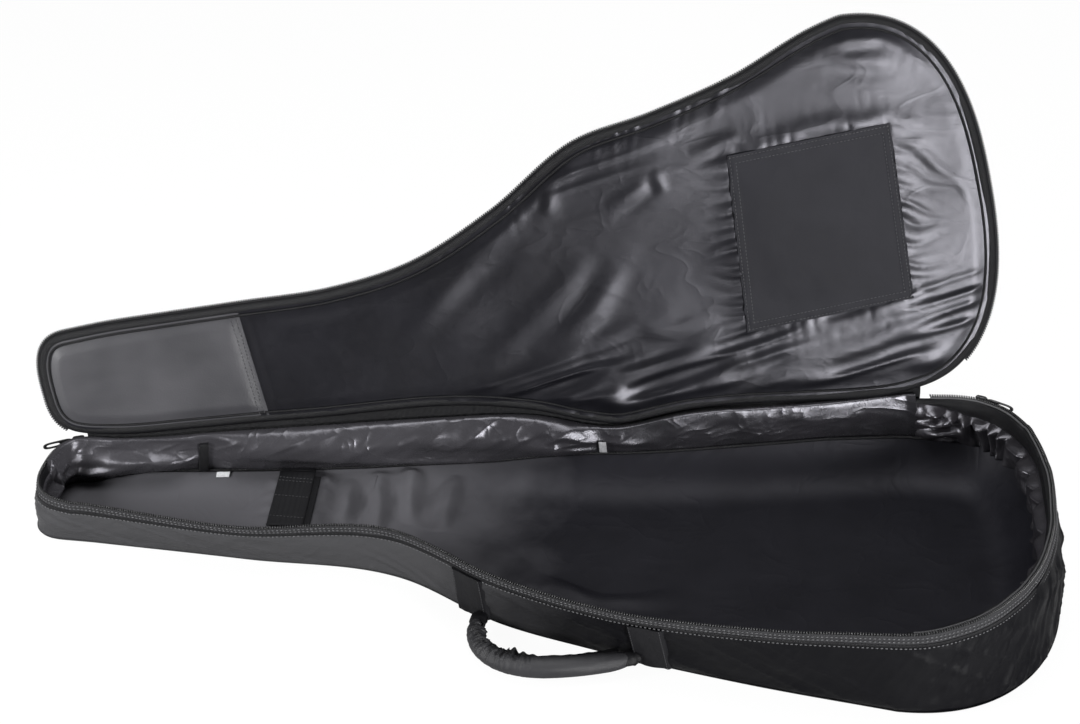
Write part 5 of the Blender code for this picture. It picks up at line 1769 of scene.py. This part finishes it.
def zip_slider(label, seat, ahead, up, bodies, nodes):
    """Slider and pull on their two bodies."""
    dress(slider_body(label + "_slider_cast", seat, ahead, up), ZINC, bodies[0], (nodes[0],))
    dress(pull_tab(label + "_pull_tab", seat, ahead, up), ZINC, bodies[1], (nodes[1],))


zip_slider("head", (-0.51029, 0.04982, 0.06038), (-0.8675, -0.4956, -0.0415), (-0.4961, 0.8683, 0.0),
           ("base", "head_zip_pull"), ("head_slider", "head_pull"))
zip_slider("tail", (0.45583, 0.19705, 0.10475), (0.8504, -0.5246, 0.0397), (0.525, 0.8511, 0.0),
           ("base", "tail_zip_pull"), ("tail_slider", "tail_pull"))
zip_slider("pocket", (-0.43766, 0.09759, 0.1291), (0.9783, 0.184, 0.0951), (-0.1514, 0.9487, -0.2777),
           ("pocket_slider", "pocket_pull"), ("neck_pocket_slider", "neck_pocket_pull"))

# %% [markdown]
# ## Small trims
# A dark strip covers a seam on the far lining near the head. A small pale tab sticks out of the floor seam
# and a small pale label sits at the waist. Both stay bare.

# %% Trims


def far_wall_patch(x0, x1, v0, v1, rise, rows=12, columns=12):
    """Small grid on the inner side of the far wall, raised off its lining."""
    part = slice(TAIL_END, len(STEPS))
    s = np.interp(np.linspace(x0, x1, columns), FOOT[part][::-1, 0], STEPS[part][::-1])
    v = np.linspace(v0, v1, rows)
    low = at_steps(s, FOOT)
    high = at_steps(s, RIM)
    out = unit(at_steps(s, OUT))
    grid = low[None] * (1 - v[:, None, None]) + high[None] * v[:, None, None]
    return grid - out[None] * np.broadcast_to(rise, (rows, columns))[..., None], s, v


def trim(name, node, finish, x0, x1, v0, v1, rise, thick=0.0012):
    """A small flat piece sewn to the far lining, with softly rounded edges."""
    c = np.linspace(-1, 1, 12)
    soft = 0.0006 * (1 - np.abs(c[None]) ** 6) * (1 - np.abs(c[:, None]) ** 6)
    front, s, v = far_wall_patch(x0, x1, v0, v1, rise + soft)
    back, _, _ = far_wall_patch(x0, x1, v0, v1, rise - thick, 2)
    map_uv = np.stack(np.broadcast_arrays(s[None], v[:, None] * 0.08), -1)
    return dress(cloth(name, front, back, map_uv), finish, "base", (node,))


trim("lining_seam_strip", "far_lining_strip", BINDING, -0.3840, -0.3740, 0.42, 0.93, 0.0135, 0.004)
trim("small_label", "bare_label", GREY_LABEL, 0.0560, 0.0640, 0.70, 0.88, 0.0175, 0.001)


def floor_tab():
    """Small folded tab that sticks out from under the floor's far seam."""
    u, v = np.meshgrid(np.linspace(0, 1, 16), np.linspace(0, 1, 12))
    loop = floor_edge(FLOOR_COUNTS)
    x = -0.361 + 0.014 * u
    y = side_of(loop, x, True) - 0.0012 - 0.0060 * v
    swept = curl(0.0012 + 0.0060 * v, seam_height(x, False))
    z = FLOOR_TOP + 0.0006 + swept + 0.0010 * np.sin(math.pi * v) * u
    front = np.stack([x, y, z], -1)
    back = front[[0, -1]] - np.array([0, 0, 0.0007])
    dress(cloth("floor_tab", front, back, front[..., :2]), LABEL, "base", ("care_tab",))


floor_tab()

# %% [markdown]
# ## Light and ground
# A photo studio for dark cloth: an even pale room, a big soft lamp overhead and one low in front, which
# the satin mirrors. The floor is plain and pale.

# %% Light


def lamp(name, place, aim, size, power):
    """Square soft lamp at a place, facing a point."""
    data = bpy.data.lights.new(name, "AREA")
    data.shape = "RECTANGLE"
    data.size, data.size_y = size
    data.energy = power
    made = bpy.data.objects.new(name, data)
    made.location = place
    made.rotation_euler = (Vector(aim) - Vector(place)).to_track_quat("-Z", "Y").to_euler()
    bpy.context.scene.collection.objects.link(made)
    return made


def studio():
    """Pale room: white to the camera, dimmer to the object, so that the cloth stays dark."""
    world = bpy.data.worlds.new("room")
    bpy.context.scene.world = world
    world.use_nodes = True
    nodes, links = world.node_tree.nodes, world.node_tree.links
    back = nodes["Background"]
    back.inputs[0].default_value = (1, 1, 1, 1)
    back.inputs[1].default_value = 0.12
    seen = nodes.new("ShaderNodeBackground")
    seen.inputs[1].default_value = 1.0
    rays = nodes.new("ShaderNodeLightPath")
    mix = nodes.new("ShaderNodeMixShader")
    links.new(rays.outputs["Is Camera Ray"], mix.inputs[0])
    links.new(back.outputs[0], mix.inputs[1])
    links.new(seen.outputs[0], mix.inputs[2])
    links.new(mix.outputs[0], nodes["World Output"].inputs[0])
    lamp("overhead", (0.1, 0.2, 2.4), (0, 0.1, 0), (1.8, 1.4), 40)
    lamp("front_low", (1.66, -1.94, 0.48), (0.38, 0.2, 0.3), (0.5, 0.4), 82)
    lamp("left_side", (-1.5, -0.9, 0.7), (-0.30, 0, 0.05), (0.6, 0.6), 30)


def ground():
    """Flat pale ground. The camera sees it mixed with white, so it is bright but keeps a soft shadow."""
    corners = np.array([[-9, -9, -0.0004], [9, -9, -0.0004], [9, 9, -0.0004], [-9, 9, -0.0004]], float)
    made = put("ground", corners, [(0, 1, 2, 3)], smooth=False)
    f = Finish("pale_ground", Roughness=0.9, Specular_IOR_Level=0.1, Base_Color=(0.50, 0.50, 0.50))
    rays = f.node("ShaderNodeLightPath")
    white = f.node("ShaderNodeEmission", None, {"Color": (1, 1, 1, 1), "Strength": 1.08})
    mix = f.tree.nodes.new("ShaderNodeMixShader")
    f.tree.links.new((rays * 0.88).socket, mix.inputs[0])
    f.tree.links.new(f.shader.outputs[0], mix.inputs[1])
    f.tree.links.new(white.socket, mix.inputs[2])
    f.tree.links.new(mix.outputs[0], f.tree.nodes["Material Output"].inputs[0])
    made.data.materials.append(f.material)
    return made


studio()
ground()
view = bpy.context.scene.view_settings
view.view_transform = "Standard"
